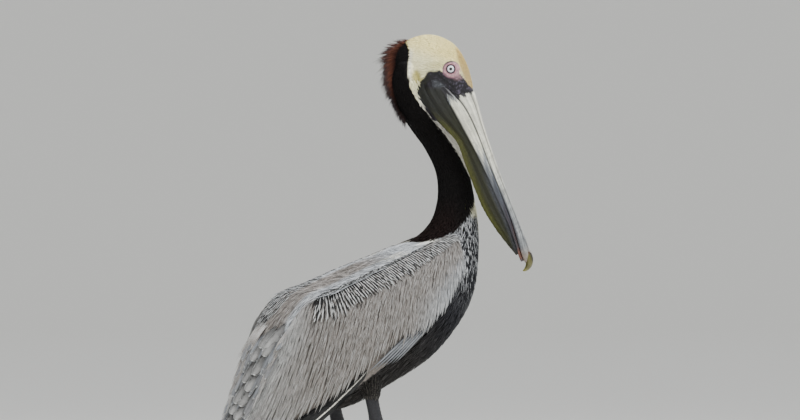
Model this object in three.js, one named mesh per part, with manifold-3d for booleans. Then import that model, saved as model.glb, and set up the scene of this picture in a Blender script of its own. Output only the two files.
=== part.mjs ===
// Adult brown pelican, standing, life size. Millimetres, +Z up, the bird's body faces +X and its left is +Y.
// The head is turned to the bird's right and the bill rests beside the neck.
import * as THREE from "three";
import { mergeVertices } from "three/addons/utils/BufferGeometryUtils.js";
import Module from "manifold-3d";

const wasm = await Module();
wasm.setup();

// ---------------------------------------------------------------- driving dimensions
const SEAM = 0.35; // gap between two neighbouring pieces
const TRUNK_MESH = [17, 22]; // rings along, points around
const NECK_MESH = [22, 16];
const HEAD_MESH = [13, 18];
const WING_RINGS = 16;
const ANKLE_HEIGHT = 84; // ankle joint over the sole
const MIDDLE_TOE = 100;
const HEAD_AT = [127, -10, 680]; // centre of the skull
const HEAD_YAW = -28; // degrees, towards the bird's right
const BILL_PITCH = -69; // degrees below the horizon
const EYE_RADIUS = 8.6;

// Stations of the trunk and neck: centre x, y, z; pitch of the way ahead in degrees; reach to back,
// belly and side; how full the back's section is, from 0.7 for nearly square to 1 for round.
const BODY = [
  [-172, 0, 106, 18, 54, 16, 34, 0.75],
  [-112, 0, 152, 28, 92, 52, 56, 0.72],
  [-60, 0, 192, 32, 114, 85, 73, 0.72],
  [0, 0, 230, 33, 104, 92, 87, 0.75],
  [66, 0, 268, 36, 99, 91, 94, 0.8],
  [112, 0, 300, 45, 92, 78, 91, 0.86],
  [139, 0, 334, 60, 77, 69, 80, 0.92],
  [160, 0, 374, 75, 59, 53, 59, 1],
  [174, 0, 414, 88, 41, 40, 38, 1],
  [179, 2, 448, 91, 32, 32, 29, 1],
  [178, 5, 482, 95, 27.5, 27.5, 26, 1],
  [171, 10, 516, 106, 26, 26, 25, 1],
  [152, 15, 554, 122, 25.5, 25.5, 24.5, 1],
  [127, 16, 586, 130, 25.5, 26, 24.5, 1],
  [104, 12, 617, 123, 26, 27, 25, 1],
  [92, 6, 650, 103, 26, 28, 25, 1],
  [100, 0, 678, 70, 24, 26, 24, 1],
];
const NECK_FROM = 8; // station where the trunk ends
const NECK_SPLIT = 12; // station between the lower and the upper neck

// Stations of the head, in the head's own upright plane: ahead, up; pitch; reach to crown, throat and side.
const HEAD = [
  [-58, -6, 20, 7, 7, 7],
  [-47, -2, 15, 24, 26, 18],
  [-26, 3, 8, 36, 38, 26],
  [-2, 6, -5, 39, 43, 30],
  [20, -2, -28, 37, 42, 29.5],
  [35, -18, -48, 30.5, 38, 27],
  [43, -37, -62, 27, 32, 23],
  [48, -56, -68, 25, 23, 20],
];
const EYE_PLACE = [35, -11.5, 21]; // ahead, up, to each side of the head's centre
const BILL_ROOT = [57, -72]; // ahead and up from the skull's centre

// The bill along its own axis, from its root: distance; culmen, gape and ramus heights; half widths of
// its upper and lower halves.
const BILL = [
  [-42, 15, -17, -27, 17, 20],
  [-20, 22, -8.5, -23, 19, 21.5],
  [0, 22, -1.5, -20.5, 18, 20],
  [30, 19, 2.5, -16.5, 15.5, 17],
  [70, 16, 3.6, -11.2, 13, 14.5],
  [110, 14.6, 3.4, -7.6, 11.8, 12.6],
  [150, 14.4, 4.4, -5.6, 11.6, 11.6],
  [200, 15, 4.6, -3, 12.8, 11.6],
  [238, 15.6, 2, -3.6, 14, 11],
  [262, 15.2, 0, -5.6, 12, 8.5],
  [274, 12.5, 0.4, -4.6, 7, 5],
];
const BILL_END = 274;
// The pouch under the bill: distance, lower edge, half width.
const POUCH = [
  [-66, -47, 10],
  [-57, -60, 15],
  [-40, -62, 19],
  [-18, -59, 19],
  [4, -52.5, 17],
  [22, -44.5, 15],
  [40, -37, 13.5],
  [56, -33.5, 12.5],
  [90, -34.5, 11.5],
  [130, -34.5, 10.5],
  [165, -33.5, 10],
  [200, -27.5, 9.2],
  [232, -18.5, 8],
  [258, -9.5, 6],
];
// The nail at the tip of the upper bill: distance, height, radius.
const NAIL = [
  [259, 8.6, 6.2],
  [270, 8.4, 6.4],
  [279, 4.6, 5.2],
  [284, -2, 3.4],
  [285, -8, 1],
];
// The crest along the nape, in the head's plane: ahead, up, how far its tips stand out, half width.
const CREST = [
  [-26, 35, 5, 5],
  [-42, 29, 14, 8],
  [-54, 14, 22, 10],
  [-59, -8, 21, 11],
  [-61, -30, 16, 11],
  [-60, -52, 12, 10],
  [-55, -74, 8, 8],
  [-44, -93, 3, 5],
];

// Right wing, folded: upper edge x, y, z; lower edge x, y, z; outward bulge; thickness; share of the
// width that the coverts take, with the flight feathers below them. The left wing mirrors it.
const WING = [
  [160, -50, 388, 163, -60, 364, 1, 8, 1],
  [148, -50, 400, 152, -86, 336, 12, 14, 1],
  [104, -61, 384, 111, -102, 277, 19, 18, 1],
  [46, -68, 359, 60, -106, 227, 18, 26, 0.98],
  [-10, -73, 335, 10, -104, 182, 20, 32, 0.875],
  [-62, -77, 313, -45, -92, 139, 20, 36, 0.92],
  [-108, -78, 297, -100, -76, 102, 20, 36, 0.9],
  [-146, -74, 266, -150, -62, 76, 17, 24, 0.87],
  [-174, -65, 204, -190, -51, 57, 11, 12, 0.84],
  [-212, -50, 112, -222, -44, 44, 4, 6, 0.8],
  [-238, -39, 52, -242, -38, 37, 1, 3, 0.75],
];
const FLIGHT_FROM = 3.1; // station of the wing where the flight feathers' own strip begins
const FLIGHT_DEPTH = 0.45; // their thickness, as a share of the wing's

// Long inner feathers over the rump, between the wings: x, z of the middle; half width; depth; how far
// their edges droop.
const TERTIALS = [
  [-140, 262, 64, 16, 7],
  [-170, 219, 61, 14, 8],
  [-194, 165, 54, 12, 8],
  [-218, 108, 45, 9, 6],
  [-238, 62, 33, 5, 4],
];

// Tail fan: x, z of its middle; half width; half thickness; how far its edges droop.
const TAIL = [
  [-124, 134, 20, 12, 3],
  [-158, 109, 33, 9, 4],
  [-198, 81, 42, 5, 5],
  [-232, 58, 43, 3, 4],
  [-247, 48, 30, 1.6, 2],
];

// Legs: side +1 is the left one. Hip, end of the feathered thigh, ankle and foot as x, way out, z. One
// foot stands ahead of the other, and each turns a little outwards.
const LEGS = {
  right: {
    side: -1,
    hip: [-8, 45, 178],
    sock: [3, 47, 138],
    ankle: [15, 47, ANKLE_HEIGHT],
    foot: [26, 50, 12],
    turn: -8,
  },
  left: {
    side: 1,
    hip: [-34, 45, 172],
    sock: [-23, 47, 132],
    ankle: [-11, 47, ANKLE_HEIGHT],
    foot: [0, 50, 12],
    turn: 8,
  },
};
// Toes from the outer to the hind one: turn from ahead towards the inner side, length, girth at the root.
const TOES = [
  { name: "outer", angle: -20, length: 0.95 * MIDDLE_TOE, girth: 6.4 },
  { name: "middle", angle: 4, length: MIDDLE_TOE, girth: 6.8 },
  { name: "inner", angle: 30, length: 0.76 * MIDDLE_TOE, girth: 6.2 },
  { name: "hind", angle: 84, length: 0.46 * MIDDLE_TOE, girth: 5.2 },
];
const TOE_PAD = 0.93; // share of a toe's length that is pad, with the claw beyond it
const WEB_THICK = 2.2;
const WEB_SCALLOP = 0.84; // how far out the web reaches between two toe tips

// ---------------------------------------------------------------- colours
const COLOURS = {
  crown: [0xe4d9a6, 0.85],
  neck: [0x1b1715, 0.9],
  plumage: [0x9b958e, 0.85],
  belly: [0x2b2826, 0.9],
  flight: [0x262729, 0.7],
  crest: [0x6a3323, 0.9],
  bill: [0xc9c9bd, 0.5],
  pouch: [0x45442b, 0.6],
  nail: [0xa9a34c, 0.45],
  eye: [0xdfe6e8, 0.15],
  leg: [0x3a383c, 0.6],
};

// ---------------------------------------------------------------- small geometry tools
const rad = THREE.MathUtils.degToRad;
const vec = (x, y, z) => new THREE.Vector3(x, y, z);

// Catmull-Rom value of a table of stations at t, counted in stations.
function along(table, t) {
  const last = table.length - 1;
  const i = Math.min(Math.max(Math.floor(t), 0), last - 1);
  const f = t - i;
  const row = (k) => table[Math.min(Math.max(k, 0), last)];
  return table[i].map((_, c) => {
    const [a, b, d, e] = [row(i - 1)[c], row(i)[c], row(i + 1)[c], row(i + 2)[c]];
    return b + 0.5 * f * (d - a + f * (2 * a - 5 * b + 4 * d - e + f * (3 * (b - d) + e - a)));
  });
}

// Values of a table whose first column is a distance, at that distance.
function atDistance(table, distance) {
  let low = 0;
  let high = table.length - 1;
  for (let step = 0; step < 40; step++) {
    const middle = (low + high) / 2;
    if (along(table, middle)[0] < distance) low = middle;
    else high = middle;
  }
  return along(table, (low + high) / 2);
}

const steps = (from, to, count) =>
  Array.from({ length: count + 1 }, (_, i) => from + ((to - from) * i) / count);

// A closed solid from rings of equally many points, each ring closed, with a fan over both ends.
function tube(rings) {
  const n = rings[0].length;
  const points = rings.flat();
  const faces = [];
  for (let r = 0; r + 1 < rings.length; r++)
    for (let i = 0; i < n; i++) {
      const [a, b] = [r * n + i, r * n + ((i + 1) % n)];
      faces.push([a, b, b + n], [a, b + n, a + n]);
    }
  for (const [ring, flip] of [[0, true], [rings.length - 1, false]]) {
    const middle = rings[ring].reduce((sum, p) => sum.add(p), vec(0, 0, 0)).divideScalar(n);
    const hub = points.push(middle) - 1;
    for (let i = 0; i < n; i++) {
      const [a, b] = [ring * n + i, ring * n + ((i + 1) % n)];
      faces.push(flip ? [hub, b, a] : [hub, a, b]);
    }
  }
  return solid(points, faces);
}

// Points and faces as a solid, with its faces turned outwards.
function solid(points, faces) {
  const volume = faces.reduce((sum, [a, b, c]) => {
    return sum + points[a].dot(points[b].clone().cross(points[c]));
  }, 0);
  const turned = volume < 0 ? faces.map(([a, b, c]) => [a, c, b]) : faces;
  return new wasm.Manifold(
    new wasm.Mesh({
      numProp: 3,
      vertProperties: new Float32Array(points.flatMap((p) => [p.x, p.y, p.z])),
      triVerts: new Uint32Array(turned.flat()),
    }),
  );
}

// A three.js geometry as a solid.
function solidOf(geometry) {
  for (const name of ["normal", "uv"]) geometry.deleteAttribute(name);
  const merged = mergeVertices(geometry, 1e-4);
  return new wasm.Manifold(
    new wasm.Mesh({
      numProp: 3,
      vertProperties: merged.attributes.position.array,
      triVerts: new Uint32Array(merged.index.array),
    }),
  );
}

// The triangles of the piece with the most of them, so that a sliver left by a cut is dropped.
function mainPiece(corners, points) {
  const owner = Array.from({ length: points }, (_, i) => i);
  const root = (i) => {
    while (owner[i] !== i) i = owner[i] = owner[owner[i]];
    return i;
  };
  for (let i = 0; i < corners.length; i += 3) {
    owner[root(corners[i + 1])] = root(corners[i]);
    owner[root(corners[i + 2])] = root(corners[i]);
  }
  const pieces = new Map();
  corners.forEach((corner) => {
    const piece = root(corner);
    pieces.set(piece, [...(pieces.get(piece) ?? []), corner]);
  });
  return [...pieces.values()].reduce((best, piece) => (piece.length > best.length ? piece : best));
}

function geometryOf(made) {
  const { vertProperties, triVerts } = made.getMesh();
  const geometry = new THREE.BufferGeometry();
  geometry.setAttribute("position", new THREE.BufferAttribute(vertProperties, 3));
  geometry.setIndex(mainPiece(Array.from(triVerts), vertProperties.length / 3));
  geometry.computeVertexNormals();
  return geometry;
}

const bird = new THREE.Group();

function add(name, made, finish) {
  const [color, roughness] = COLOURS[finish];
  const material = new THREE.MeshStandardMaterial({ color, roughness, metalness: 0 });
  const mesh = new THREE.Mesh(geometryOf(made), material);
  mesh.name = name;
  bird.add(mesh);
}

// ---------------------------------------------------------------- body and neck
// Point of an oval whose upper and lower halves reach unequally far. A fullness under 1 squares the upper.
function oval(angle, above, below, side, fullness = 1) {
  const [c, s] = [Math.cos(angle), Math.sin(angle)];
  if (s <= 0) return [side * c, below * s];
  return [side * Math.sign(c) * Math.abs(c) ** fullness, above * s ** fullness];
}

function bodyRing(t, grow, count) {
  const [x, y, z, pitch, back, belly, side, fullness] = along(BODY, t);
  const up = vec(-Math.sin(rad(pitch)), 0, Math.cos(rad(pitch)));
  return steps(0, 2 * Math.PI, count)
    .slice(0, -1)
    .map((angle) => {
      const [left, rise] = oval(angle, back + grow, belly + grow, side + grow, fullness);
      return vec(x, y + left, z).addScaledVector(up, rise);
    });
}

function bodyLength(from, to, rings, count, grow = 0) {
  return tube(steps(from, to, rings).map((t) => bodyRing(t, grow, count)));
}

// ---------------------------------------------------------------- head and bill, in the head's frame
const toHead = new THREE.Matrix4()
  .makeTranslation(...HEAD_AT)
  .multiply(new THREE.Matrix4().makeRotationZ(rad(HEAD_YAW)));
const headPoint = (ahead, left, up) => vec(ahead, left, up).applyMatrix4(toHead);

function headLoft(rings, count, grow = 0) {
  return tube(
    steps(0, HEAD.length - 1, rings).map((t) => {
      const [ahead, height, pitch, crown, throat, side] = along(HEAD, t);
      return steps(0, 2 * Math.PI, count)
        .slice(0, -1)
        .map((angle) => {
          const [left, rise] = oval(angle, crown + grow, throat + grow, side + grow);
          const [c, s] = [Math.cos(rad(pitch)), Math.sin(rad(pitch))];
          return headPoint(ahead - rise * s, left, height + rise * c);
        });
    }),
  );
}

const [BILL_C, BILL_S] = [Math.cos(rad(BILL_PITCH)), Math.sin(rad(BILL_PITCH))];
// Point at a distance along the bill, a height towards the culmen and a way to the left.
const billPoint = (distance, left, height) =>
  headPoint(
    BILL_ROOT[0] + distance * BILL_C - height * BILL_S,
    left,
    BILL_ROOT[1] + distance * BILL_S + height * BILL_C,
  );

// Section of the upper bill: a rounded ridge on flat, sloping sides.
function upperSection(culmen, gape, half) {
  const tall = culmen - gape;
  return [
    [half, 0],
    [half, 0.22 * tall],
    [0.78 * half, 0.55 * tall],
    [0.42 * half, 0.78 * tall],
    [0.3 * half, 0.95 * tall],
    [0, tall],
    [-0.3 * half, 0.95 * tall],
    [-0.42 * half, 0.78 * tall],
    [-0.78 * half, 0.55 * tall],
    [-half, 0.22 * tall],
    [-half, 0],
  ].map(([left, rise]) => [left, gape + rise]);
}

function upperBill() {
  return tube(
    steps(BILL[0][0], BILL_END, 18).map((distance) => {
      const [, culmen, gape, , half] = atDistance(BILL, distance);
      return upperSection(culmen, gape, half).map(([left, rise]) => billPoint(distance, left, rise));
    }),
  );
}

function lowerBill(grow = 0) {
  const shorter = 4;
  return tube(
    steps(BILL[0][0], BILL_END - shorter, 16).map((distance) => {
      const [, , gape, ramus, , half] = atDistance(BILL, distance);
      const top = gape - SEAM + grow;
      const low = Math.min(ramus, gape - 2.4) - grow;
      const wide = half + grow;
      return [
        [wide * 0.94, top],
        [wide, (top + low) / 2],
        [wide * 0.9, low],
        [-wide * 0.9, low],
        [-wide, (top + low) / 2],
        [-wide * 0.94, top],
      ].map(([left, rise]) => billPoint(distance, left, rise));
    }),
  );
}

// The folded pouch hangs as a rounded keel from the lower half of the bill.
function pouch() {
  const tucked = 2;
  return tube(
    steps(POUCH[0][0], POUCH[POUCH.length - 1][0], 15).map((distance) => {
      const [, low, half] = atDistance(POUCH, distance);
      const ramus = atDistance(BILL, Math.max(distance, BILL[0][0]))[3];
      const top = ramus + tucked;
      return steps(0, Math.PI, 8).map((angle) => {
        const drop = Math.sin(angle) ** 0.8;
        return billPoint(distance, half * Math.cos(angle), top - (top - low) * drop);
      });
    }),
  );
}

function nail(grow = 0) {
  return tube(
    steps(0, NAIL.length - 1, 8).map((t) => {
      const [distance, height, radius] = along(NAIL, t);
      const [ahead, behind] = [along(NAIL, t + 0.05), along(NAIL, t - 0.05)];
      const slope = Math.atan2(ahead[1] - behind[1], ahead[0] - behind[0]);
      return steps(0, 2 * Math.PI, 8)
        .slice(0, -1)
        .map((angle) => {
          const [left, rise] = oval(angle, radius + grow, radius + grow, 1.15 * radius + grow);
          return billPoint(distance - rise * Math.sin(slope), left, height + rise * Math.cos(slope));
        });
    }),
  );
}

// A blade of feathers along the nape, rooted a little under the skin.
function crest() {
  const sunk = 6;
  return tube(
    steps(0, CREST.length - 1, 12).map((t) => {
      const [ahead, up, proud, half] = along(CREST, t);
      const [next, last] = [along(CREST, t + 0.1), along(CREST, t - 0.1)];
      const run = Math.hypot(next[0] - last[0], next[1] - last[1]);
      const out = [(next[1] - last[1]) / run, -(next[0] - last[0]) / run];
      return [
        [half, -sunk],
        [0.8 * half, 0.35 * proud],
        [0.3 * half, proud],
        [-0.3 * half, proud],
        [-0.8 * half, 0.35 * proud],
        [-half, -sunk],
      ].map(([left, reach]) => headPoint(ahead + out[0] * reach, left, up + out[1] * reach));
    }),
  );
}

function eye(side, grow = 0) {
  const ball = new THREE.SphereGeometry(EYE_RADIUS + grow, 12, 7);
  const [ahead, up, out] = EYE_PLACE;
  const centre = headPoint(ahead, side * out, up);
  return solidOf(ball.translate(centre.x, centre.y, centre.z));
}

// ---------------------------------------------------------------- wings and tail
// Point of the right wing, t stations from the wrist to the tip, at a share of its width below its upper
// edge and a share of its thickness under its outer face, and then moved out by some millimetres.
function wingPoint(t, share, inward, proud) {
  const [ux, uy, uz, lx, ly, lz, bulge, thick] = along(WING, t);
  const [upper, lower] = [vec(ux, uy, uz), vec(lx, ly, lz)];
  const [back, ahead] = [along(WING, t + 0.2), along(WING, t - 0.2)];
  const run = vec(back[0] + back[3] - ahead[0] - ahead[3], 0, back[2] + back[5] - ahead[2] - ahead[5]);
  const out = lower.clone().sub(upper).cross(run).normalize();
  if (out.y > 0) out.negate();
  const round = Math.sin(Math.PI * Math.min(Math.max(share, 0), 1)) ** 0.7;
  const reach = bulge * round - inward * thick * (0.25 + 0.75 * round) + proud;
  return upper.lerp(lower, share).addScaledVector(out, reach);
}

// A length of the folded wing between two shares of its width, each worked out from the coverts' share.
function wingLength(side, [from, to], fromStation, rings, depth = 1, grow = 0) {
  const widen = grow / 100;
  return tube(
    steps(fromStation, WING.length - 1, rings).map((t) => {
      const coverts = along(WING, t)[8];
      const down = steps(from(coverts) - widen, to(coverts) + widen, 6);
      const outer = down.map((share) => wingPoint(t, share, 0, grow));
      const inner = down.map((share) => wingPoint(t, share, depth, -grow)).reverse();
      return [...outer, ...inner].map((p) => vec(p.x, -side * p.y, p.z));
    }),
  );
}

const HALF_SLIT = 0.004; // half the slit between coverts and flight feathers, as a share of the width
const NARROWEST = 0.985; // where the strip of flight feathers begins at the latest
const WHOLE = [() => 0, () => 1];
const COVERTS = [() => 0, (coverts) => coverts - HALF_SLIT];
const FLIGHT = [(coverts) => Math.min(coverts + HALF_SLIT, NARROWEST), () => 1];

// A fan of feathers: rings across it from a table of x, z, half width, reach up, reach down and droop.
function fan(table, rings, grow) {
  return tube(
    steps(0, table.length - 1, rings).map((t) => {
      const [x, z, half, up, down, droop] = along(table, t);
      const across = steps(-1, 1, 8);
      const edge = (way, reach) => {
        const cover = 0.35 + 0.65 * Math.sqrt(Math.max(1 - way * way, 0));
        const rise = reach * cover + Math.sign(reach) * grow - droop * way * way;
        return vec(x, way * (half + grow), z + rise);
      };
      return [...across.map((way) => edge(way, up)), ...across.reverse().map((way) => edge(way, -down))];
    }),
  );
}

function tail(grow = 0) {
  const table = TAIL.map(([x, z, half, thick, droop]) => [x, z, half, thick, thick, droop]);
  return fan(table, 8, grow);
}

function tertials() {
  const table = TERTIALS.map(([x, z, half, depth, droop]) => [x, z, half, 1, depth, droop]);
  return fan(table, 8, 0);
}

// ---------------------------------------------------------------- legs and feet
// A limb through places given as x, y, z and reach fore-and-aft and sideways.
function limb(places, rings, count, grow = 0) {
  return tube(
    steps(0, places.length - 1, rings).map((t) => {
      const [x, y, z, fore, side] = along(places, t);
      return steps(0, 2 * Math.PI, count)
        .slice(0, -1)
        .map((a) => vec(x + (fore + grow) * Math.cos(a), y + (side + grow) * Math.sin(a), z));
    }),
  );
}

function thigh(leg, grow = 0) {
  const [hip, sock] = [leg.hip, leg.sock];
  const y = (value) => leg.side * value;
  const places = [
    [hip[0], y(hip[1]), hip[2] + grow, 24, 20],
    [(hip[0] + sock[0]) / 2, y((hip[1] + sock[1]) / 2), (hip[2] + sock[2]) / 2, 22, 18],
    [sock[0], y(sock[1]), sock[2] - grow, 14, 12],
  ];
  return limb(places, 5, 12, grow);
}

function shank(leg) {
  const between = (from, to, share, fore, side) => {
    const [x, y, z] = [0, 1, 2].map((k) => from[k] + share * (to[k] - from[k]));
    return [x, leg.side * y, z, fore, side];
  };
  const { sock, ankle, foot } = leg;
  const places = [
    between(sock, ankle, SEAM / 50, 11.5, 8.5),
    between(sock, ankle, 0.55, 11.5, 8.5),
    between(sock, ankle, 1, 13, 10),
    between(ankle, foot, 0.22, 10.5, 7.6),
    between(ankle, foot, 0.6, 9.5, 6.8),
    between(ankle, foot, 0.86, 10.5, 7.6),
  ];
  return limb(places, 10, 10);
}

// Place on the floor at a share of a toe's length from the foot's middle.
function toePlace(leg, toe, share) {
  const heading = rad(leg.turn) - leg.side * rad(toe.angle);
  const [x, out] = leg.foot;
  const reach = share * toe.length;
  return [x + reach * Math.cos(heading), leg.side * out + reach * Math.sin(heading)];
}

// A toe or claw with a flat sole, between two places on the floor, with its girths and heights on the way.
function flatFooted(from, to, girths, heights) {
  const run = vec(to[0] - from[0], to[1] - from[1], 0);
  const across = vec(-run.y, run.x, 0).normalize();
  return tube(
    girths.map((girth, i) => {
      const middle = vec(from[0], from[1], 0).addScaledVector(run, i / (girths.length - 1));
      return [
        [girth, 0],
        [girth * 0.86, heights[i] * 0.6],
        [girth * 0.35, heights[i]],
        [-girth * 0.35, heights[i]],
        [-girth * 0.86, heights[i] * 0.6],
        [-girth, 0],
      ].map(([side, up]) => middle.clone().addScaledVector(across, side).setZ(up));
    }),
  );
}

function toePad(leg, toe) {
  const girths = [1, 0.82, 0.8, 0.62].map((share) => share * toe.girth);
  const heights = [1.9, 1.25, 1.1, 0.75].map((share) => share * toe.girth);
  return flatFooted(toePlace(leg, toe, -0.04), toePlace(leg, toe, TOE_PAD), girths, heights);
}

// All four toes are joined by the web, whose edge dips between each two of them.
function web(leg) {
  const centre = toePlace(leg, TOES[0], 0);
  const outline = new THREE.Shape();
  outline.moveTo(centre[0] - 8, centre[1]);
  TOES.forEach((toe, i) => {
    const tip = toePlace(leg, toe, TOE_PAD);
    if (i === 0) return outline.lineTo(...tip);
    const before = toePlace(leg, TOES[i - 1], TOE_PAD);
    const dip = centre.map((c, k) => c + ((before[k] + tip[k]) / 2 - c) * WEB_SCALLOP);
    return outline.quadraticCurveTo(...dip, ...tip);
  });
  outline.closePath();
  const options = { depth: WEB_THICK, bevelEnabled: false, curveSegments: 3 };
  return solidOf(new THREE.ExtrudeGeometry(outline, options));
}

function foot(leg) {
  const [x, y] = toePlace(leg, TOES[0], 0);
  const heel = [
    [x - 1, y, 0, 13, 9],
    [x - 1, y, 8, 12, 8.6],
    [x - 2, y, 20, 11, 8],
  ];
  return TOES.reduce((sum, toe) => sum.add(toePad(leg, toe)), web(leg)).add(limb(heel, 2, 10));
}

function claw(leg, toe) {
  const root = toePlace(leg, toe, TOE_PAD + SEAM / toe.length);
  return flatFooted(root, toePlace(leg, toe, 1.03), [3.3, 2.3, 0.6], [5, 4, 1]);
}

// ---------------------------------------------------------------- the bird
const nearHead = headLoft(...HEAD_MESH, SEAM);
const nearTrunk = bodyLength(0, NECK_FROM, ...TRUNK_MESH, 1.5 * SEAM);
const nearNeck = bodyLength(NECK_FROM, BODY.length - 1, ...NECK_MESH, 2 * SEAM);
const nearTail = tail(SEAM);
const nearThighs = Object.values(LEGS).map((leg) => thigh(leg, SEAM));
const cutStep = SEAM / 36; // the gap counted in stations of the body, which lie about 36 mm apart there
const less = (made, cuts) => cuts.reduce((rest, cut) => rest.subtract(cut), made);

const EYES = { right: -1, left: 1 };
const sockets = Object.values(EYES).map((side) => eye(side, SEAM));
add("head", less(headLoft(...HEAD_MESH), sockets), "crown");
for (const [name, side] of Object.entries(EYES)) add("eye_" + name, eye(side), "eye");
add("crest", less(crest(), [nearHead, nearNeck]), "crest");

const upperNeck = bodyLength(NECK_SPLIT + cutStep, BODY.length - 1, 11, 16);
add("neck_upper", less(upperNeck, [nearHead]), "neck");
add("neck_lower", bodyLength(NECK_FROM + cutStep, NECK_SPLIT - cutStep, 11, 16), "neck");
add("trunk", less(bodyLength(0, NECK_FROM - cutStep, ...TRUNK_MESH), nearThighs), "belly");
add("tail", less(tail(), [nearTrunk]), "flight");

add("upper_bill", less(upperBill(), [nearHead, nail(SEAM)]), "bill");
add("nail", nail(), "nail");
add("lower_bill", less(lowerBill(), [nearHead, nail(SEAM)]), "bill");
add("pouch", less(pouch(), [lowerBill(SEAM), nearHead, nearNeck, nail(SEAM)]), "pouch");

for (const [name, leg] of Object.entries(LEGS)) {
  add("thigh_" + name, thigh(leg), "belly");
  add("leg_" + name, less(shank(leg), [nearTrunk]), "leg");
  add("foot_" + name, foot(leg), "leg");
  TOES.forEach((toe) => add("claw_" + name + "_" + toe.name, claw(leg, toe), "leg"));
}

const underWings = [nearTrunk, nearTail, ...nearThighs];
for (const [name, { side }] of Object.entries(LEGS)) {
  add("wing_" + name, less(wingLength(side, COVERTS, 0, WING_RINGS), underWings), "plumage");
  const strip = wingLength(side, FLIGHT, FLIGHT_FROM, WING_RINGS - 6, FLIGHT_DEPTH);
  add("primaries_" + name, less(strip, underWings), "flight");
}
const nearWings = Object.values(LEGS).map(({ side }) => wingLength(side, WHOLE, 0, WING_RINGS, 1, SEAM));
add("tertials", less(tertials(), [nearTrunk, nearTail, ...nearWings]), "plumage");

// The floor's centre under the whole bird is the frame's origin.
const box = new THREE.Box3().setFromObject(bird);
bird.position.set(-(box.min.x + box.max.x) / 2, -(box.min.y + box.max.y) / 2, -box.min.z);
const part = new THREE.Group();
part.add(bird);

export default part;
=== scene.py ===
"""A life-size brown pelican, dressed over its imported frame: one skin, a coat of feathers, bill, eyes and feet.

Forms are worked out in millimetres in the bird's own frame: x ahead, y to its left, z up from the floor.
"""

import logging
import math
from dataclasses import dataclass, field
from enum import Enum
from functools import partial
from typing import Callable, Sequence

import bmesh
import bpy
import numpy as np
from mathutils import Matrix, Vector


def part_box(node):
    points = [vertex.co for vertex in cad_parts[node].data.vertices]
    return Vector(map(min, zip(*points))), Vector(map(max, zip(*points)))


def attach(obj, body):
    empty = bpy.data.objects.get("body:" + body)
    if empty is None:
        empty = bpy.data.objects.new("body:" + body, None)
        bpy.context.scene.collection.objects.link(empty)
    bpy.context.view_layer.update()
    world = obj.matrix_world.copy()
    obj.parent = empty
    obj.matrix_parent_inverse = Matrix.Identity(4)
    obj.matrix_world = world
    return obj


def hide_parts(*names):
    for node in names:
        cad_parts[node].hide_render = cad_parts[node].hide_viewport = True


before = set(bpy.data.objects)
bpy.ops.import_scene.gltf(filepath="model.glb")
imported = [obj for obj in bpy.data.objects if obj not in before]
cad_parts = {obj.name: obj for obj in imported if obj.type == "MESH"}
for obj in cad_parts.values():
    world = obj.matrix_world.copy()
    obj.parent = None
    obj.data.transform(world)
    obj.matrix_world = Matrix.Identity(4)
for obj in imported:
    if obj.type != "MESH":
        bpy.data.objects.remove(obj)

LOG = logging.getLogger("pelican")
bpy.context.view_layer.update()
MM = 0.001
TAU = 2 * math.pi
SEED = 20
BAKE_PATCH = 0.003  # size of a feather's own patch on the unwrap of what it grows on
Material = bpy.types.Material
Array = np.ndarray
Number = Array | float
Pair = tuple[float, float]
SurfaceFn = Callable[[Array, Array], Array]


# ---------------------------------------------------------------- small mathematics
def table(*rows: Sequence[float]) -> Array:
    """Dataclass field that holds a table of numbers, given row by row."""
    return field(default_factory=lambda: np.array(rows, float))


def stack(*parts: Number) -> Array:
    """Numbers side by side along a new last axis."""
    return np.stack(np.broadcast_arrays(*parts), -1)


def columns(rows: Array) -> Array:
    """The last axis first, to be taken apart."""
    return np.moveaxis(rows, -1, 0)


def lattice(u: Array, v: Array) -> list[Array]:
    """Two parameters on a grid, the first one along its rows."""
    return np.meshgrid(u, v, indexing="ij")


def around(count: int) -> Array:
    """Equal angles of a full turn."""
    return np.linspace(0, TAU, count, endpoint=False)


def along(stations: Array, t: Array) -> Array:
    """Catmull-Rom curve through the rows of a table: each row is met at its own whole number t.

    Args:
        stations: the table, one row each.
        t: places counted in stations, of any shape.

    Returns:
        The table's columns at t, as a last axis.
    """
    last = len(stations) - 1
    i = np.clip(np.floor(t).astype(int), 0, last - 1)
    f = (t - i)[..., None]
    a, b, c, d = (stations[np.clip(i + k, 0, last)] for k in (-1, 0, 1, 2))
    return b + 0.5 * f * (c - a + f * (2 * a - 5 * b + 4 * c - d + f * (3 * (b - c) + d - a)))


def at_distance(stations: Array, distance: Array) -> Array:
    """Columns of a table at a distance, its first and rising column; level past its ends."""
    t = np.linspace(0, len(stations) - 1, 40 * len(stations))
    return along(stations, np.interp(distance, along(stations, t)[:, 0], t))


def unit(v: Array) -> Array:
    """Vectors divided by their lengths."""
    return v / np.maximum(np.linalg.norm(v, axis=-1, keepdims=True), 1e-9)


def smooth(x: Array, low: float, high: float) -> Array:
    """Smooth step: 0 below low, 1 above high, and 3f² - 2f³ between them."""
    f = np.clip((x - low) / (high - low), 0, 1)
    return f * f * (3 - 2 * f)


def hill(x: Array, width: float) -> Array:
    """Bell: e to the power of minus the square of x over the width."""
    return np.exp(-((x / width) ** 2))


def curve(x: Array, stops: Sequence[Pair]) -> Array:
    """Straight lines through (place, value) pairs, level beyond both ends."""
    xs, ys = zip(*stops)
    return np.interp(x, xs, ys)


def run_of(points: Array) -> Array:
    """Distance along a row of points from its first one."""
    return np.concatenate([[0], np.cumsum(np.linalg.norm(np.diff(points, axis=0), axis=1))])


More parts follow.
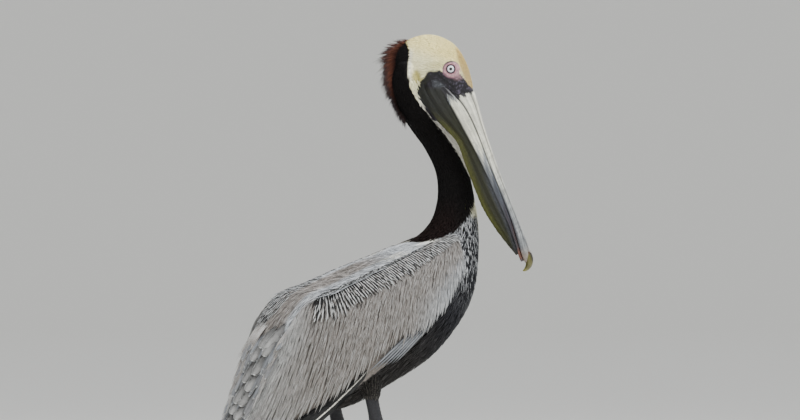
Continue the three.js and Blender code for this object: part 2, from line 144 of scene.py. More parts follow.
def colour(code: str) -> Array:
    """Linear RGB of an sRGB hex code: (c + 0.055) / 1.055 to the power 2.4, or c / 12.92 when dark."""
    c = np.array([int(code[k : k + 2], 16) for k in (1, 3, 5)]) / 255
    return np.where(c <= 0.04045, c / 12.92, ((c + 0.055) / 1.055) ** 2.4)


def mix(a: Array, b: Array | str, share: Number) -> Array:
    """Blend of two colours, share 0 for the first and 1 for the second, which may be a hex code."""
    share = np.asarray(share)[..., None]
    return a * (1 - share) + (colour(b) if isinstance(b, str) else b) * share


def glaze(tone: Array | str, shape: tuple[int, ...], *layers: tuple[Array | str, Number]) -> Array:
    """Colours laid over one another.

    Args:
        tone: the lowest colour.
        shape: of the surface.
        layers: each a colour over it, and the share of it that covers what lies below.

    Returns:
        The colour on top, for each point of the surface.
    """
    made = np.tile(colour(tone) if isinstance(tone, str) else tone, (*shape, 1))
    for over, share in layers:
        made = mix(made, over, share)
    return made


def oval(angle: Array, above: Array, below: Array, side: Array, fullness: Number = 1.0) -> tuple[Array, Array]:
    """Oval whose upper and lower halves reach unequally far; a fullness under 1 squares the upper half.

    Args:
        angle: way round, 0 at the left side and a quarter turn at the top.
        above, below, side: reach to the top, the bottom and each side.
        fullness: power of the sine and cosine in the upper half.

    Returns:
        Way to the left and rise, each of the common shape.
    """
    c, s = np.cos(angle), np.sin(angle)
    full = np.where(s > 0, fullness, 1.0)
    reach = np.where(s > 0, above, below)
    return side * np.sign(c) * np.abs(c) ** full, reach * np.sign(s) * np.abs(s) ** full


def turned(degrees: float, a: Array, b: Array) -> tuple[Array, Array]:
    """Coordinates a and b of points turned by degrees from a towards b."""
    c, s = math.cos(math.radians(degrees)), math.sin(math.radians(degrees))
    return c * a - s * b, s * a + c * b


# ---------------------------------------------------------------- the bird's forms
@dataclass(frozen=True)
class BodyForm:
    """Trunk and neck: ovals on stations of x, y, z, pitch, reach to back, belly and side, and fullness."""

    stations: Array = table(
        [-172, 0, 106, 18, 54, 16, 34, 0.75], [-112, 0, 152, 28, 92, 52, 56, 0.72],
        [-60, 0, 192, 32, 114, 85, 73, 0.72],
        [0, 0, 230, 33, 104, 92, 87, 0.75], [66, 0, 268, 36, 99, 91, 94, 0.8],
        [112, 0, 300, 45, 92, 78, 91, 0.86],
        [139, 0, 334, 60, 77, 69, 80, 0.92], [160, 0, 374, 75, 59, 53, 59, 1],
        [174, 0, 414, 88, 41, 40, 38, 1],
        [179, 2, 448, 91, 32, 32, 29, 1], [178, 5, 482, 95, 27.5, 27.5, 26, 1],
        [171, 10, 516, 106, 26, 26, 25, 1],
        [152, 15, 554, 122, 25.5, 25.5, 24.5, 1], [127, 16, 586, 130, 25.5, 26, 24.5, 1],
        [104, 12, 617, 123, 26, 27, 25, 1], [92, 6, 650, 103, 26, 28, 25, 1],
        [100, 0, 678, 70, 24, 26, 24, 1],
    )

    def coat_depth(self, t: Array) -> Array:
        """Depth of the coat over the skin: deep on the trunk, thin on the neck."""
        return curve(t, [(0, 6.0), (6, 8.0), (8.5, 5.0), (10, 3.2), (15, 2.6)])

    def surface(self, t: Array, angle: Array, grow: Number = 0.0) -> Array:
        """Point on the oval of a station.

        Args:
            t: station.
            angle: way round it.
            grow: millimetres outwards.

        Returns:
            Points as a last axis.
        """
        x, y, z, pitch, back, belly, side, full = columns(along(self.stations, t))
        left, rise = oval(angle, back + grow, belly + grow, side + grow, full)
        p = np.radians(pitch)
        return stack(x - np.sin(p) * rise, y + left, z + np.cos(p) * rise)


@dataclass(frozen=True)
class HeadForm:
    """Skull and face: ovals in the head's own upright plane, which is turned to the bird's right.

    Attributes:
        at, yaw: the head's place and turn.
        stations: ahead, up, pitch, reach to crown, throat and side.
        bill_root, bill_pitch: where the bill starts in the head's plane, and which way it points.
        eye: ahead, out and up.
        ringed: half the height of the bare ring round the eye.
    """

    at: tuple[float, float, float] = (127, -10, 680)
    yaw: float = -28.0
    stations: Array = table(
        [-58, -6, 20, 7, 7, 7], [-47, -2, 15, 24, 26, 18], [-26, 3, 8, 36, 38, 26], [-2, 6, -5, 39, 43, 30],
        [20, -2, -28, 37, 42, 29.5], [35, -18, -48, 30.5, 38, 27], [43, -37, -62, 27, 32, 23],
        [48, -56, -68, 25, 23, 20],
    )
    bill_root: Pair = (57, -72)
    bill_pitch: float = -69.0
    eye: tuple[float, float, float] = (35, 21, -11.5)
    ringed: float = 14.5

    def world(self, own: Array) -> Array:
        """Points from the head's frame (ahead, left, up) to the bird's frame."""
        a, l, u = columns(own)
        x, y = turned(self.yaw, a, l)
        return stack(x + self.at[0], y + self.at[1], u + self.at[2])

    def own(self, world: Array) -> Array:
        """Points from the bird's frame to the head's frame."""
        x, y, z = columns(world - np.array(self.at))
        return stack(*turned(-self.yaw, x, y), z)

    def from_eye(self, own: Array) -> Array:
        """Distance of points in the head's frame from the eye's axis."""
        return np.hypot(own[..., 0] - self.eye[0], own[..., 2] - self.eye[2])

    def surface(self, t: Array, angle: Array, grow: Number = 0.0) -> Array:
        """Point on the head at station t from the nape to the bill, at an angle round its section."""
        ahead, up, pitch, crown, throat, side = columns(along(self.stations, t))
        left, rise = oval(angle, crown + grow, throat + grow, side + grow)
        p = np.radians(pitch)
        return self.world(stack(ahead - rise * np.sin(p), left, up + rise * np.cos(p)))

    def bill(self, distance: Array, left: Array, height: Array) -> Array:
        """Point at a distance along the bill, some way to the left and up towards its ridge."""
        a, u = turned(self.bill_pitch, distance, height)
        return self.world(stack(self.bill_root[0] + a, left, self.bill_root[1] + u))

    def bill_own(self, world: Array) -> tuple[Array, Array, Array]:
        """Distance along the bill, way to the left and height of points in the bird's frame."""
        a, l, u = columns(self.own(world))
        distance, height = turned(-self.bill_pitch, a - self.bill_root[0], u - self.bill_root[1])
        return distance, l, height

    def bare(self, own: Array) -> Array:
        """1 on the bare skin of the face, 0 in feathers: under a line from jaw to brow, and by the eye."""
        a, l, u = columns(own)
        line = curve(
            a,
            [(-24, -60), (-21, -41), (-16, -33), (-7, -28), (-5, -19), (-1, -15), (6, -13.4), (17, -13.4),
             (23, -17), (30, -22), (47, -20), (51, -19), (55, -26), (62, -35), (69, -43)],
        )
        ring = smooth(self.ringed - np.hypot(a - 36, u + 12.5), -0.6, 0.6) * (np.abs(l) > 12)
        return np.maximum(smooth(line - u, -0.6, 0.6), ring)


@dataclass(frozen=True)
class WingForm:
    """Folded wing: x, y, z of the upper and the lower edge, outward bulge and thickness, for the right one.

    Attributes:
        side: -1 right, 1 left, which mirrors the right one.
    """

    side: int
    stations: Array = table(
        [160, -50, 388, 163, -60, 364, 1, 8], [148, -50, 400, 152, -86, 336, 12, 14],
        [104, -61, 384, 111, -102, 277, 19, 18], [46, -68, 359, 60, -106, 227, 18, 26],
        [-10, -73, 335, 10, -104, 182, 20, 32], [-62, -77, 313, -45, -92, 139, 20, 36],
        [-108, -78, 297, -100, -76, 102, 20, 36], [-146, -74, 266, -150, -62, 76, 17, 24],
        [-174, -65, 204, -190, -51, 57, 11, 12], [-212, -50, 112, -222, -44, 44, 4, 6],
        [-238, -39, 52, -242, -38, 37, 1, 3],
    )

    @property
    def name(self) -> str:
        """Which wing it is."""
        return "right" if self.side < 0 else "left"

    def surface(self, t: Array, share: Array, inward: Number = 0.0, proud: Number = 0.0) -> Array:
        """Point t stations from the wrist to the tip and a share of the width below the upper edge.

        Args:
            t: station.
            share: 0 at the upper edge, 1 at the lower edge.
            inward: share of the wing's thickness under its outer face.
            proud: millimetres out from there.

        Returns:
            Points as a last axis.
        """
        row = along(self.stations, t)
        step = along(self.stations, t + 0.2) - along(self.stations, t - 0.2)
        upper, lower = row[..., 0:3], row[..., 3:6]
        run = step[..., 0:3] + step[..., 3:6]
        run[..., 1] = 0
        out = unit(np.cross(lower - upper, run))
        out = np.where(out[..., 1:2] > 0, -out, out)
        curl = np.sin(math.pi * np.clip(share, 0, 1)) ** 0.7
        reach = row[..., 6] * curl - inward * row[..., 7] * (0.25 + 0.75 * curl) + proud
        point = upper + (lower - upper) * share[..., None] + out * reach[..., None]
        return point * np.array([1, -self.side, 1])


@dataclass(frozen=True)
class FanForm:
    """A fan of long feathers: stations of x, z, half width, reach up, reach down, droop and lift.

    Both edges droop, and the left one, which lies over the other wing's feathers, is lifted.
    """

    stations: Array

    def surface(self, t: Array, way: Array, below: Number = 0.0) -> Array:
        """Point at station t, way -1 to 1 from right to left, at a share of the depth below the upper face."""
        x, z, half, up, down, droop, lift = columns(along(self.stations, t))
        cover = 0.35 + 0.65 * np.sqrt(np.clip(1 - way * way, 0, 1))
        edge = lift * smooth(way, 0.15, 0.8) - droop * way * way
        return stack(x, way * half, z + edge + (up - below * (up + down)) * cover)


BACK = FanForm(np.array(
    [[122, 391, 49, 2, 12, 8, 0], [104, 388, 59, 2, 14, 7, 0], [46, 364, 70, 2, 16, 7, 1],
     [-10, 341, 75, 2, 16, 7, 3],
     [-62, 318, 78, 2, 16, 6, 4], [-108, 300, 78, 2, 16, 6, 5], [-138, 268, 74, 2, 16, 7, 6],
     [-152, 244, 70, 1, 16, 7, 6]], float,
))
TERTIALS = FanForm(np.array(
    [[-140, 262, 72, 1, 16, 7, 6], [-170, 219, 65, 1, 14, 8, 6], [-194, 165, 57, 1, 12, 8, 4],
     [-218, 108, 47, 1, 9, 6, 2], [-238, 62, 34, 1, 5, 4, 0]], float,
))
TAIL = FanForm(np.array(
    [[-124, 134, 20, 12, 12, 3, 0], [-158, 109, 33, 9, 9, 4, 0], [-198, 81, 42, 5, 5, 5, 0],
     [-232, 58, 43, 3, 3, 4, 0], [-247, 48, 30, 1.6, 1.6, 2, 0]], float,
))
# along the bill: distance, its ridge, the gape, the lower edge of the jaw, half widths of upper and lower bill
BILL = np.array(
    [[-42, 15, -17, -27, 17, 20], [-20, 22, -8.5, -23, 19, 21.5], [0, 22, -1.5, -20.5, 18, 20],
     [30, 19, 2.5, -16.5, 15.5, 17], [70, 16, 3.6, -11.2, 13, 14.5], [110, 14.6, 3.4, -7.6, 11.8, 12.6],
     [150, 14.4, 4.4, -5.6, 11.6, 11.6], [200, 15, 4.6, -3, 12.8, 11.6], [238, 15.6, 2, -3.6, 14, 11],
     [262, 15.2, 0, -5.6, 12, 8.5], [274, 12.5, 0.4, -4.6, 7, 5]], float,
)
# distance along the bill, height of the pouch's keel, half width
POUCH = np.array(
    [[-66, -47, 10], [-57, -60, 15], [-40, -62, 19], [-18, -59, 19], [4, -52.5, 17], [22, -44.5, 15],
     [40, -37, 13.5], [56, -33.5, 12.5], [90, -34.5, 11.5], [130, -34.5, 10.5], [165, -33.5, 10],
     [200, -27.5, 9.2], [232, -18.5, 8], [258, -9.5, 6]], float,
)
# distance along the bill, height and radius of the nail
NAIL = np.array([[259, 8.6, 6.2], [270, 8.4, 6.4], [279, 4.6, 5.2], [284, -2, 3.4], [285, -8, 1]], float)
# ahead and up of the nape in the head's frame, length of the crest's feathers, half width of the crest
CREST = np.array(
    [[-26, 35, 6, 5], [-42, 29, 16, 8], [-54, 14, 24, 10], [-59, -8, 20, 11], [-61, -30, 11, 11],
     [-60, -52, 6, 10], [-55, -74, 3, 8], [-44, -93, 1.5, 5]], float,
)
BODY = BodyForm()
HEAD = HeadForm()
WINGS = (WingForm(-1), WingForm(1))


def under_wing() -> Callable[[Array], Array]:
    """A test of which places lie behind a folded wing, on a chart of x and z in cells of 4 mm."""
    cell, size, behind = 4.0, np.array([140, 110]), 280
    chart = np.zeros(size, bool)

    def cells(point: Array) -> tuple[Array, ...]:
        """Row and column of the chart for each place."""
        where = (stack(point[..., 0] + behind, point[..., 2]) / cell).astype(int)
        return tuple(columns(np.clip(where, 0, size - 1)))

    t, share = lattice(np.linspace(0.15, 9, 400), np.linspace(0.1, 0.93, 200))
    chart[cells(WINGS[0].surface(t, share))] = True
    return lambda point: chart[cells(point)] & (np.abs(point[..., 1]) > 30)


def frame_shift() -> Array:
    """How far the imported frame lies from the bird's frame, in metres, measured on the right eye."""
    a, l, u = HEAD.eye
    return np.mean(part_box("eye_right"), axis=0) - HEAD.world(np.array([a, -l, u])) * MM


SHIFT = frame_shift()


# ---------------------------------------------------------------- meshes
def new_object(name: str, data: bpy.types.ID) -> bpy.types.Object:
    """Links a mesh, light or camera to the scene as an object of that name."""
    made = bpy.data.objects.new(name, data)
    bpy.context.scene.collection.objects.link(made)
    return made


def settle(piece: bpy.types.Object, slot: str, *nodes: str) -> bpy.types.Object:
    """Puts a piece on the bird.

    Args:
        piece: the piece.
        slot: the material slot that it takes its finish from; not used.
        nodes: those that it stands for.

    Returns:
        The piece.
    """
    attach(piece, "root")
    if nodes:
        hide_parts(*nodes)
    LOG.info("%s: %d faces", piece.name, len(piece.data.polygons))
    return piece


def mesh_from(name: str, points: Array, corners: Array, sides: Array) -> bpy.types.Mesh:
    """Mesh from points and faces.

    Args:
        name: the mesh's name.
        points: (n, 3) places in millimetres of the bird's frame.
        corners: the faces' corners, one after another.
        sides: number of corners of each face.

    Returns:
        The mesh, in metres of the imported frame, shaded smooth.
    """
    mesh = bpy.data.meshes.new(name)
    mesh.vertices.add(len(points))
    mesh.loops.add(len(corners))
    mesh.loops.foreach_set("vertex_index", corners.astype(np.int32))
    mesh.polygons.add(len(sides))
    mesh.polygons.foreach_set("loop_start", np.concatenate([[0], np.cumsum(sides)[:-1]]).astype(np.int32))
    mesh.polygons.foreach_set("loop_total", sides.astype(np.int32))
    mesh.polygons.foreach_set("use_smooth", np.ones(len(sides), bool))
    set_places(mesh, points)
    mesh.update(calc_edges=True)
    mesh.validate()
    return mesh


@dataclass
class Shell:
    """Closed surfaces collected as arrays, each a tube of rings."""

    points: list[Array] = field(default_factory=list)
    corners: list[Array] = field(default_factory=list)
    sides: list[Array] = field(default_factory=list)
    total: int = 0

    def tube(self, grid: Array) -> "Shell":
        """Adds a tube of rings, closed by a hub at each end, facing outwards.

        Args:
            grid: (ring, way round, 3) places.

        Returns:
            The shell itself.
        """
        rings, count = grid.shape[:2]
        points = np.concatenate([grid.reshape(-1, 3), grid[0].mean(0)[None], grid[-1].mean(0)[None]])
        r, a = lattice(np.arange(rings - 1), np.arange(count))
        b = (a + 1) % count
        quads = stack(r * count + a, r * count + b, (r + 1) * count + b, (r + 1) * count + a).reshape(-1, 4)
        i, hub, end = np.arange(count), rings * count, (rings - 1) * count
        j = (i + 1) % count
        caps = [stack(hub, j, i).ravel(), stack(hub + 1, end + i, end + j).ravel()]
        corners = np.concatenate([quads.ravel(), *caps])
        sides = np.concatenate([np.full(len(quads), 4), np.full(2 * count, 3)])
        a, b, c = (points[quads[:, k]] for k in (0, 1, 2))
        if np.einsum("ij,ij->i", a - points.mean(0), np.cross(b - a, c - a)).sum() < 0:
            corners = np.concatenate([part[::-1] for part in np.split(corners, np.cumsum(sides)[:-1])])
        self.points.append(points)
        self.corners.append(corners + self.total)
        self.sides.append(sides)
        self.total += len(points)
        return self

    def mesh(self, name: str) -> bpy.types.Mesh:
        """All tubes as one mesh."""
        return mesh_from(name, *(np.concatenate(part) for part in (self.points, self.corners, self.sides)))


def places(mesh: bpy.types.Mesh) -> Array:
    """A mesh's points in millimetres of the bird's frame."""
    co = np.empty(len(mesh.vertices) * 3, np.float32)
    mesh.vertices.foreach_get("co", co)
    return (co.reshape(-1, 3) - SHIFT) / MM


def set_places(mesh: bpy.types.Mesh, points: Array) -> None:
    """Moves a mesh's points to places in millimetres of the bird's frame."""
    mesh.vertices.foreach_set("co", (points * MM + SHIFT).astype(np.float32).ravel())
    mesh.update()


def paint(mesh: bpy.types.Mesh, name: str, rgb: Array) -> None:
    """Stores a colour for each point under an attribute's name."""
    layer = mesh.color_attributes.new(name, "FLOAT_COLOR", "POINT")
    layer.data.foreach_set("color", np.c_[rgb, np.ones(len(rgb))].astype(np.float32).ravel())


def mark(mesh: bpy.types.Mesh, name: str, value: Array) -> None:
    """Stores a number for each point under an attribute's name."""
    mesh.attributes.new(name, "FLOAT", "POINT").data.foreach_set("value", value.astype(np.float32))


def set_uv(mesh: bpy.types.Mesh, name: str, uv: Array, render: bool = False) -> None:
    """Stores a UV map from one place for each point, as the one that renders where asked."""
    corner = np.empty(len(mesh.loops), np.int32)
    mesh.loops.foreach_get("vertex_index", corner)
    layer = mesh.uv_layers.new(name=name)
    layer.data.foreach_set("uv", uv[corner].astype(np.float32).ravel())
    if render:
        layer.active_render = True


# ---------------------------------------------------------------- feathers
class Shape(Enum):
    """Outline of a feather: places along it of its cross-sections, and its half width at each."""

    TUFT = ((0.35, 0.8), (1.0, 0.55))
    BLADE = ((0.22, 0.55, 0.85), (0.85, 1.0, 0.45))
    LANCE = ((0.15, 0.42, 0.72, 0.9), (0.6, 1.0, 0.62, 0.25))
    QUILL = ((0.08, 0.25, 0.45, 0.65, 0.82, 0.92, 0.97), (0.6, 0.92, 1.0, 1.0, 0.92, 0.68, 0.4))


@dataclass(frozen=True)
class Ground:
    """A surface that feathers grow on.

    Attributes:
        point: place for two parameters.
        u, v: lowest and highest of each parameter.
        out: 1 where the cross product of the steps along u and v points outwards, else -1.
    """

    point: SurfaceFn
    u: Pair
    v: Pair
    out: int = -1

    def steps(self, u: Array, v: Array) -> tuple[Array, Array, Array]:
        """Place and the change of place for a unit of each parameter, by central differences."""
        h, k = 0.02, 0.01
        du = (self.point(u + h, v) - self.point(u - h, v)) / (2 * h)
        dv = (self.point(u, v + k) - self.point(u, v - k)) / (2 * k)
        return self.point(u, v), du, dv

    def scatter(
        self, density: Callable[[Array, Array, Array], Array], rng: np.random.Generator
    ) -> tuple[Array, Array]:
        """Evenly strewn places whose number for each square millimetre follows a density.

        The cells of a fine grid are weighed by area times density. A plane-filling sequence then picks a row by
        the rows' running sum, and a place in the row by the running sum within it.

        Args:
            density: feathers for each mm² from place, u and v.
            rng: for a small jitter.

        Returns:
            The two parameters of each feather's root.
        """
        rows, cells = 160, 200
        (u_low, u_high), (v_low, v_high) = self.u, self.v
        uu, vv = lattice(u_low + (np.arange(rows) + 0.5) / rows * (u_high - u_low),
                         v_low + (np.arange(cells) + 0.5) / cells * (v_high - v_low))
        point, du, dv = self.steps(uu, vv)
        cell = (u_high - u_low) / rows * (v_high - v_low) / cells
        weight = np.linalg.norm(np.cross(du, dv), axis=-1) * cell * np.maximum(density(point, uu, vv), 0)
        count = int(round(weight.sum()))
        i = np.arange(count)
        first, second = (0.5 + i * 0.7548776662466927) % 1, (0.5 + i * 0.5698402909980532) % 1
        total = np.concatenate([[0], np.cumsum(weight.sum(1))])
        place = np.interp(first * total[-1], total, np.arange(rows + 1))
        row = np.minimum(place.astype(int), rows - 1)
        inner = np.cumsum(weight + 1e-12, axis=1)
        inner = inner / inner[:, -1:] + np.arange(rows)[:, None]
        at = np.searchsorted(inner.ravel(), row + second) - row * cells
        at = np.clip(at, 0, cells - 1) + rng.random(count)
        place = row + rng.random(count) * 0.5 + (place - row) * 0.5
        return u_low + place / rows * (u_high - u_low), v_low + at / cells * (v_high - v_low)


def leaves(
    name: str, points: Array, at: Array, root: Array, core: Array, rim: Array, stripe: Array
) -> bpy.types.Mesh:
    """Thin closed leaves as one mesh.

    Each is a root, cross-sections of four corners (edge, shaft, edge, underside) and a tip. It carries its two
    colours, its own map from root to tip, and a small patch of an unwrap of the ground.

    Args:
        name: the mesh's name.
        points: (leaf, corner, 3) places; where the root is a point and not a section, it comes first.
        at: each section's place along the leaf.
        root: (leaf, 2) places on the unwrap.
        core, rim, stripe: two colours and the core's width, for each leaf or each corner.

    Returns:
        The mesh.
    """
    n, each = points.shape[:2]
    rings = len(at)
    first = each - 4 * rings - 1
    k = np.arange(4)
    j = (k + 1) % 4
    cap = stack(0, 1 + j, 1 + k) if first else np.array([[3, 2, 1, 0]])
    wall = first + 4 * np.arange(rings - 1)[:, None, None] + stack(k, j, 4 + j, 4 + k)
    tip = first + 4 * (rings - 1) + stack(k, j, 4)
    corners = np.concatenate([cap.ravel(), wall.ravel(), tip.ravel()])
    sides = np.repeat([cap.shape[1], 4, 3], [len(cap), 4 * (rings - 1), 4])
    faces = (corners + each * np.arange(n)[:, None]).ravel()
    mesh = mesh_from(name, points.reshape(-1, 3), faces, np.tile(sides, n))
    u = np.concatenate([[0.5] * first, np.tile([0.0, 0.5, 1.0, 0.5], rings), [0.5]])
    v = np.concatenate([[0] * first, np.repeat(at, 4), [1]])
    own = np.tile(stack(u, v), (n, 1))
    set_uv(mesh, "vane", own, render=True)
    set_uv(mesh, "OFBake", np.clip(np.repeat(root, each, 0) + (own - [0.5, 0]) * BAKE_PATCH, 0, 1))
    core, rim, stripe = (np.repeat(part, n * each // len(part), 0) for part in (core, rim, stripe))
    paint(mesh, "core", core)
    paint(mesh, "rim", rim)
    mark(mesh, "stripe", stripe)
    return mesh


@dataclass
class Feathers:
    """Many feathers of one tract, given as arrays with one row for each, or as one number for all.

    Attributes:
        ground: what they grow on.
        u, v: the roots' places on it.
        lie: which way each one points, as a direction in space.
        length, half: its length and half width in millimetres.
        sunk: how deep its root lies under the ground's surface.
        proud: how far its tip stands over that surface.
        core, rim: its colours along the shaft and at the edges.
        stripe: half width of the core's colour, as a share of the feather's.
        shape: its outline.
        thick: its thickness in millimetres.
        crown: how far the shaft stands over the edges, as a share of the half width.
        bend: sideways curve, as a share of the length.
        roll: turn about the shaft, in radians, that lays the vane towards one side.
    """

    ground: Ground
    u: Array
    v: Array
    lie: Array
    length: Number
    half: Number
    sunk: Number
    proud: Number
    core: Array
    rim: Array
    stripe: Number
    shape: Shape
    thick: float = 0.35
    crown: float = 0.3
    bend: Number = 0.0
    roll: Number = 0.0

    def __post_init__(self) -> None:
        """Gives every feather its own number where one stands for all."""
        for name in ("length", "half", "sunk", "proud", "stripe", "bend", "roll"):
            setattr(self, name, np.broadcast_to(np.asarray(getattr(self, name), float), self.u.shape))

    def spine(self, share: Array) -> tuple[Array, Array, Array]:
        """Places along the shaft, with the ways across and out there.

        A feather follows the ground in a straight run of its parameters. Past the ground's edge it goes
        straight on.

        Args:
            share: shares of the length, one for each cross-section.

        Returns:
            Three arrays of (feather, share, 3).
        """
        _, du, dv = self.ground.steps(self.u, self.v)
        uu, uv, vv = (np.einsum("ij,ij->i", p, q) for p, q in ((du, du), (du, dv), (dv, dv)))
        lu, lv = np.einsum("ij,ij->i", self.lie, du), np.einsum("ij,ij->i", self.lie, dv)
        det = np.maximum(uu * vv - uv * uv, 1e-9)
        a, b = (lu * vv - lv * uv) / det, (lv * uu - lu * uv) / det
        size = np.linalg.norm(a[:, None] * du + b[:, None] * dv, axis=1)
        a, b = a / size, b / size
        room = np.full(len(a), 1e9)
        for start, rate, (low, high) in ((self.u, a, self.ground.u), (self.v, b, self.ground.v)):
            edge = np.where(rate > 0, high, low)
            room = np.minimum(room, np.maximum((edge - start) / np.where(np.abs(rate) < 1e-9, 1e-9, rate), 0))
        a, b, u, v, length = (part[:, None] for part in (a, b, self.u, self.v, self.length))
        run = share[None] * length
        inside = np.minimum(run, room[:, None])
        back = np.minimum(inside, np.maximum(inside - 0.5, 0))
        here = self.ground.point(u + a * inside, v + b * inside)
        before = self.ground.point(u + a * back, v + b * back)
        tangent = np.where((inside - back)[..., None] > 0.05, unit(here - before), (a * du + b * dv)[:, None])
        _, du, dv = self.ground.steps(u + a * inside, v + b * inside)
        out = unit(np.cross(du, dv)) * self.ground.out
        height = -self.sunk[:, None] * (1 - share[None]) ** 1.3 + self.proud[:, None] * share[None] ** 2
        across = unit(np.cross(out, tangent))
        aside = (self.bend[:, None] * length * share**2)[..., None]
        place = here + tangent * (run - inside)[..., None] + out * height[..., None] + across * aside
        return place, across, out

    def mesh(self, name: str) -> bpy.types.Mesh:
        """All feathers as one mesh of thin closed leaves, each rolled about its shaft, most at its tip."""
        at, wide = (np.array(part) for part in self.shape.value)
        share = np.concatenate([[0], at, [1]])
        spot, across, out = self.spine(share)
        n = len(spot)
        roll = self.roll[:, None, None] * np.sqrt(share)[None, :, None]
        across, out = across * np.cos(roll) - out * np.sin(roll), out * np.cos(roll) + across * np.sin(roll)
        half = self.half[:, None, None] * wide[None, :, None]
        crown, thick = half * self.crown, self.thick / 2
        middle, side, up = spot[:, 1:-1], across[:, 1:-1], out[:, 1:-1]
        top, under = middle + up * (crown + thick), middle + up * (crown - thick)
        ring = [middle - side * half, top, middle + side * half, under]
        points = np.concatenate([spot[:, :1], np.stack(ring, 2).reshape(n, -1, 3), spot[:, -1:]], 1)
        unwrap = ((self.u, *self.ground.u), (self.v, *self.ground.v))
        root = stack(*(0.02 + 0.96 * (place - low) / (high - low) for place, low, high in unwrap))
        return leaves(name, points, at, root, self.core, self.rim, self.stripe)


# ---------------------------------------------------------------- nodes and finishes
def connect(tree: bpy.types.NodeTree, node: bpy.types.Node, inputs: dict) -> None:
    """Links a node's inputs, by name or number, to sockets, or sets them to values."""
    for key, value in inputs.items():
        if isinstance(value, bpy.types.NodeSocket):
            tree.links.new(value, node.inputs[key])
        else:
            node.inputs[key].default_value = value


def add_node(
    tree: bpy.types.NodeTree, kind: str, *inputs: object, out: int | str = 0, **settings: object
) -> bpy.types.NodeSocket:
    """Adds a node with its settings and links.

    Args:
        tree: node tree.
        kind: the node's type name, without ShaderNode.
        inputs: sockets or values for inputs 0, 1, 2 and so on, or one dictionary of them by name or number.
        out: name or number of the output wanted.
        settings: the node's attributes.

    Returns:
        That output.
    """
    node = tree.nodes.new("ShaderNode" + kind)
    for key, value in settings.items():
        setattr(node, key, value)
    connect(tree, node, inputs[0] if inputs and isinstance(inputs[0], dict) else dict(enumerate(inputs)))
    return node.outputs[out]


def new_material(name: str) -> tuple[Material, Callable, Callable]:
    """A material, with the function that adds a node to it and the one that connects its Principled shader."""
    material = bpy.data.materials.new(name)
    material.use_nodes = True
    tree = material.node_tree
    return material, partial(add_node, tree), partial(connect, tree, tree.nodes["Principled BSDF"])


EASED = {"interpolation_type": "SMOOTHSTEP"}
COLOURS = {"data_type": "RGBA", "blend_type": "MULTIPLY", "out": 2}
TIMES = {"operation": "MULTIPLY"}
TIMES_ADD = {"operation": "MULTIPLY_ADD"}
MID = (0.3, 0.7)  # where a noise texture's values mostly lie


@dataclass(frozen=True)
class Plumage:
    """Feather keratin: matt barbs in two colours, soft sheen, painted shade where a feather lies under the next.

    Attributes:
        barbs: barbs drawn along a feather; real ones lie 0.3 mm apart and would not show.
        soft: how gradually the shaft's colour goes over into the edge's.
        root_shade, shaded: painted shade at a feather's root, under the one before it: how dark, and how far up.
        grain: how much lighter and darker its small patches are.
        tip: how strongly the edge's colour runs round the tip.
    """

    name: str
    roughness: float = 0.62
    sheen: float = 0.04
    barbs: int = 26
    soft: float = 0.18
    root_shade: float = 0.76
    relief: float = 0.3
    gloss: float = 0.25
    grain: float = 0.11
    tip: float = 0.0
    shaded: float = 0.55

    def make(self) -> Material:
        """Builds the material from the feather's own map and its two colours."""
        material, add, finish = new_material(self.name)
        core, rim = (add("Attribute", attribute_name=name) for name in ("core", "rim"))
        stripe = add("Attribute", out="Fac", attribute_name="stripe")
        own = add("UVMap", uv_map="vane")
        across, up = (add("SeparateXYZ", own, out=k) for k in (0, 1))
        place = add("TexCoord", out="Object")
        grain, broad = (add("TexNoise", {"Vector": place, "Scale": 1 / (size * MM), "Detail": detail})
                        for size, detail in ((1.6, 4), (9.0, 3)))
        off = add("Math", add("Math", across, 2.0, -1.0, **TIMES_ADD), 0.0, operation="ABSOLUTE")
        round_tip = add("MapRange", up, 0.86, 1.0, 0.0, 1.05 * self.tip, **EASED)
        off_tip = add("Math", off, round_tip, operation="MAXIMUM")
        wander = add("Math", grain, 0.5, -0.25, **TIMES_ADD)
        wander = add("Math", wander, 1 - 0.8 * self.tip, off_tip, **TIMES_ADD)
        past = add("Math", wander, stripe, operation="SUBTRACT")
        edge = add("MapRange", past, -self.soft, self.soft, 0.0, 1.0, **EASED)
        colours = add("Mix", {0: edge, 6: core, 7: rim}, data_type="RGBA", out=2)
        # Painted shade: darker towards the root, under the feather before; the grain's patches multiplied in are
        # the feather's own.
        shade = add("MapRange", up, 0.0, self.shaded, self.root_shade, 1.0, **EASED)
        for value in (broad, grain):
            patchy = add("MapRange", value, *MID, 1 - self.grain, 1 + self.grain, **EASED)
            shade = add("Math", shade, patchy, **TIMES)
        colours = add("Mix", {0: 1.0, 6: colours, 7: shade}, **COLOURS)
        lines = add("Math", off, self.barbs * 0.35, add("Math", up, self.barbs, **TIMES), **TIMES_ADD)
        wave = add("Math", add("Math", lines, TAU, **TIMES), 0.0, operation="SINE")
        relief = add("Math", wave, 0.5, grain, **TIMES_ADD)
        finish({
            "Base Color": colours,
            "Normal": add("Bump", {"Strength": self.relief, "Distance": 0.0004, "Height": relief}),
            "Roughness": self.roughness,
            "Sheen Weight": self.sheen,
            "Sheen Roughness": 0.4,
            "Specular IOR Level": self.gloss,
        })
        return material


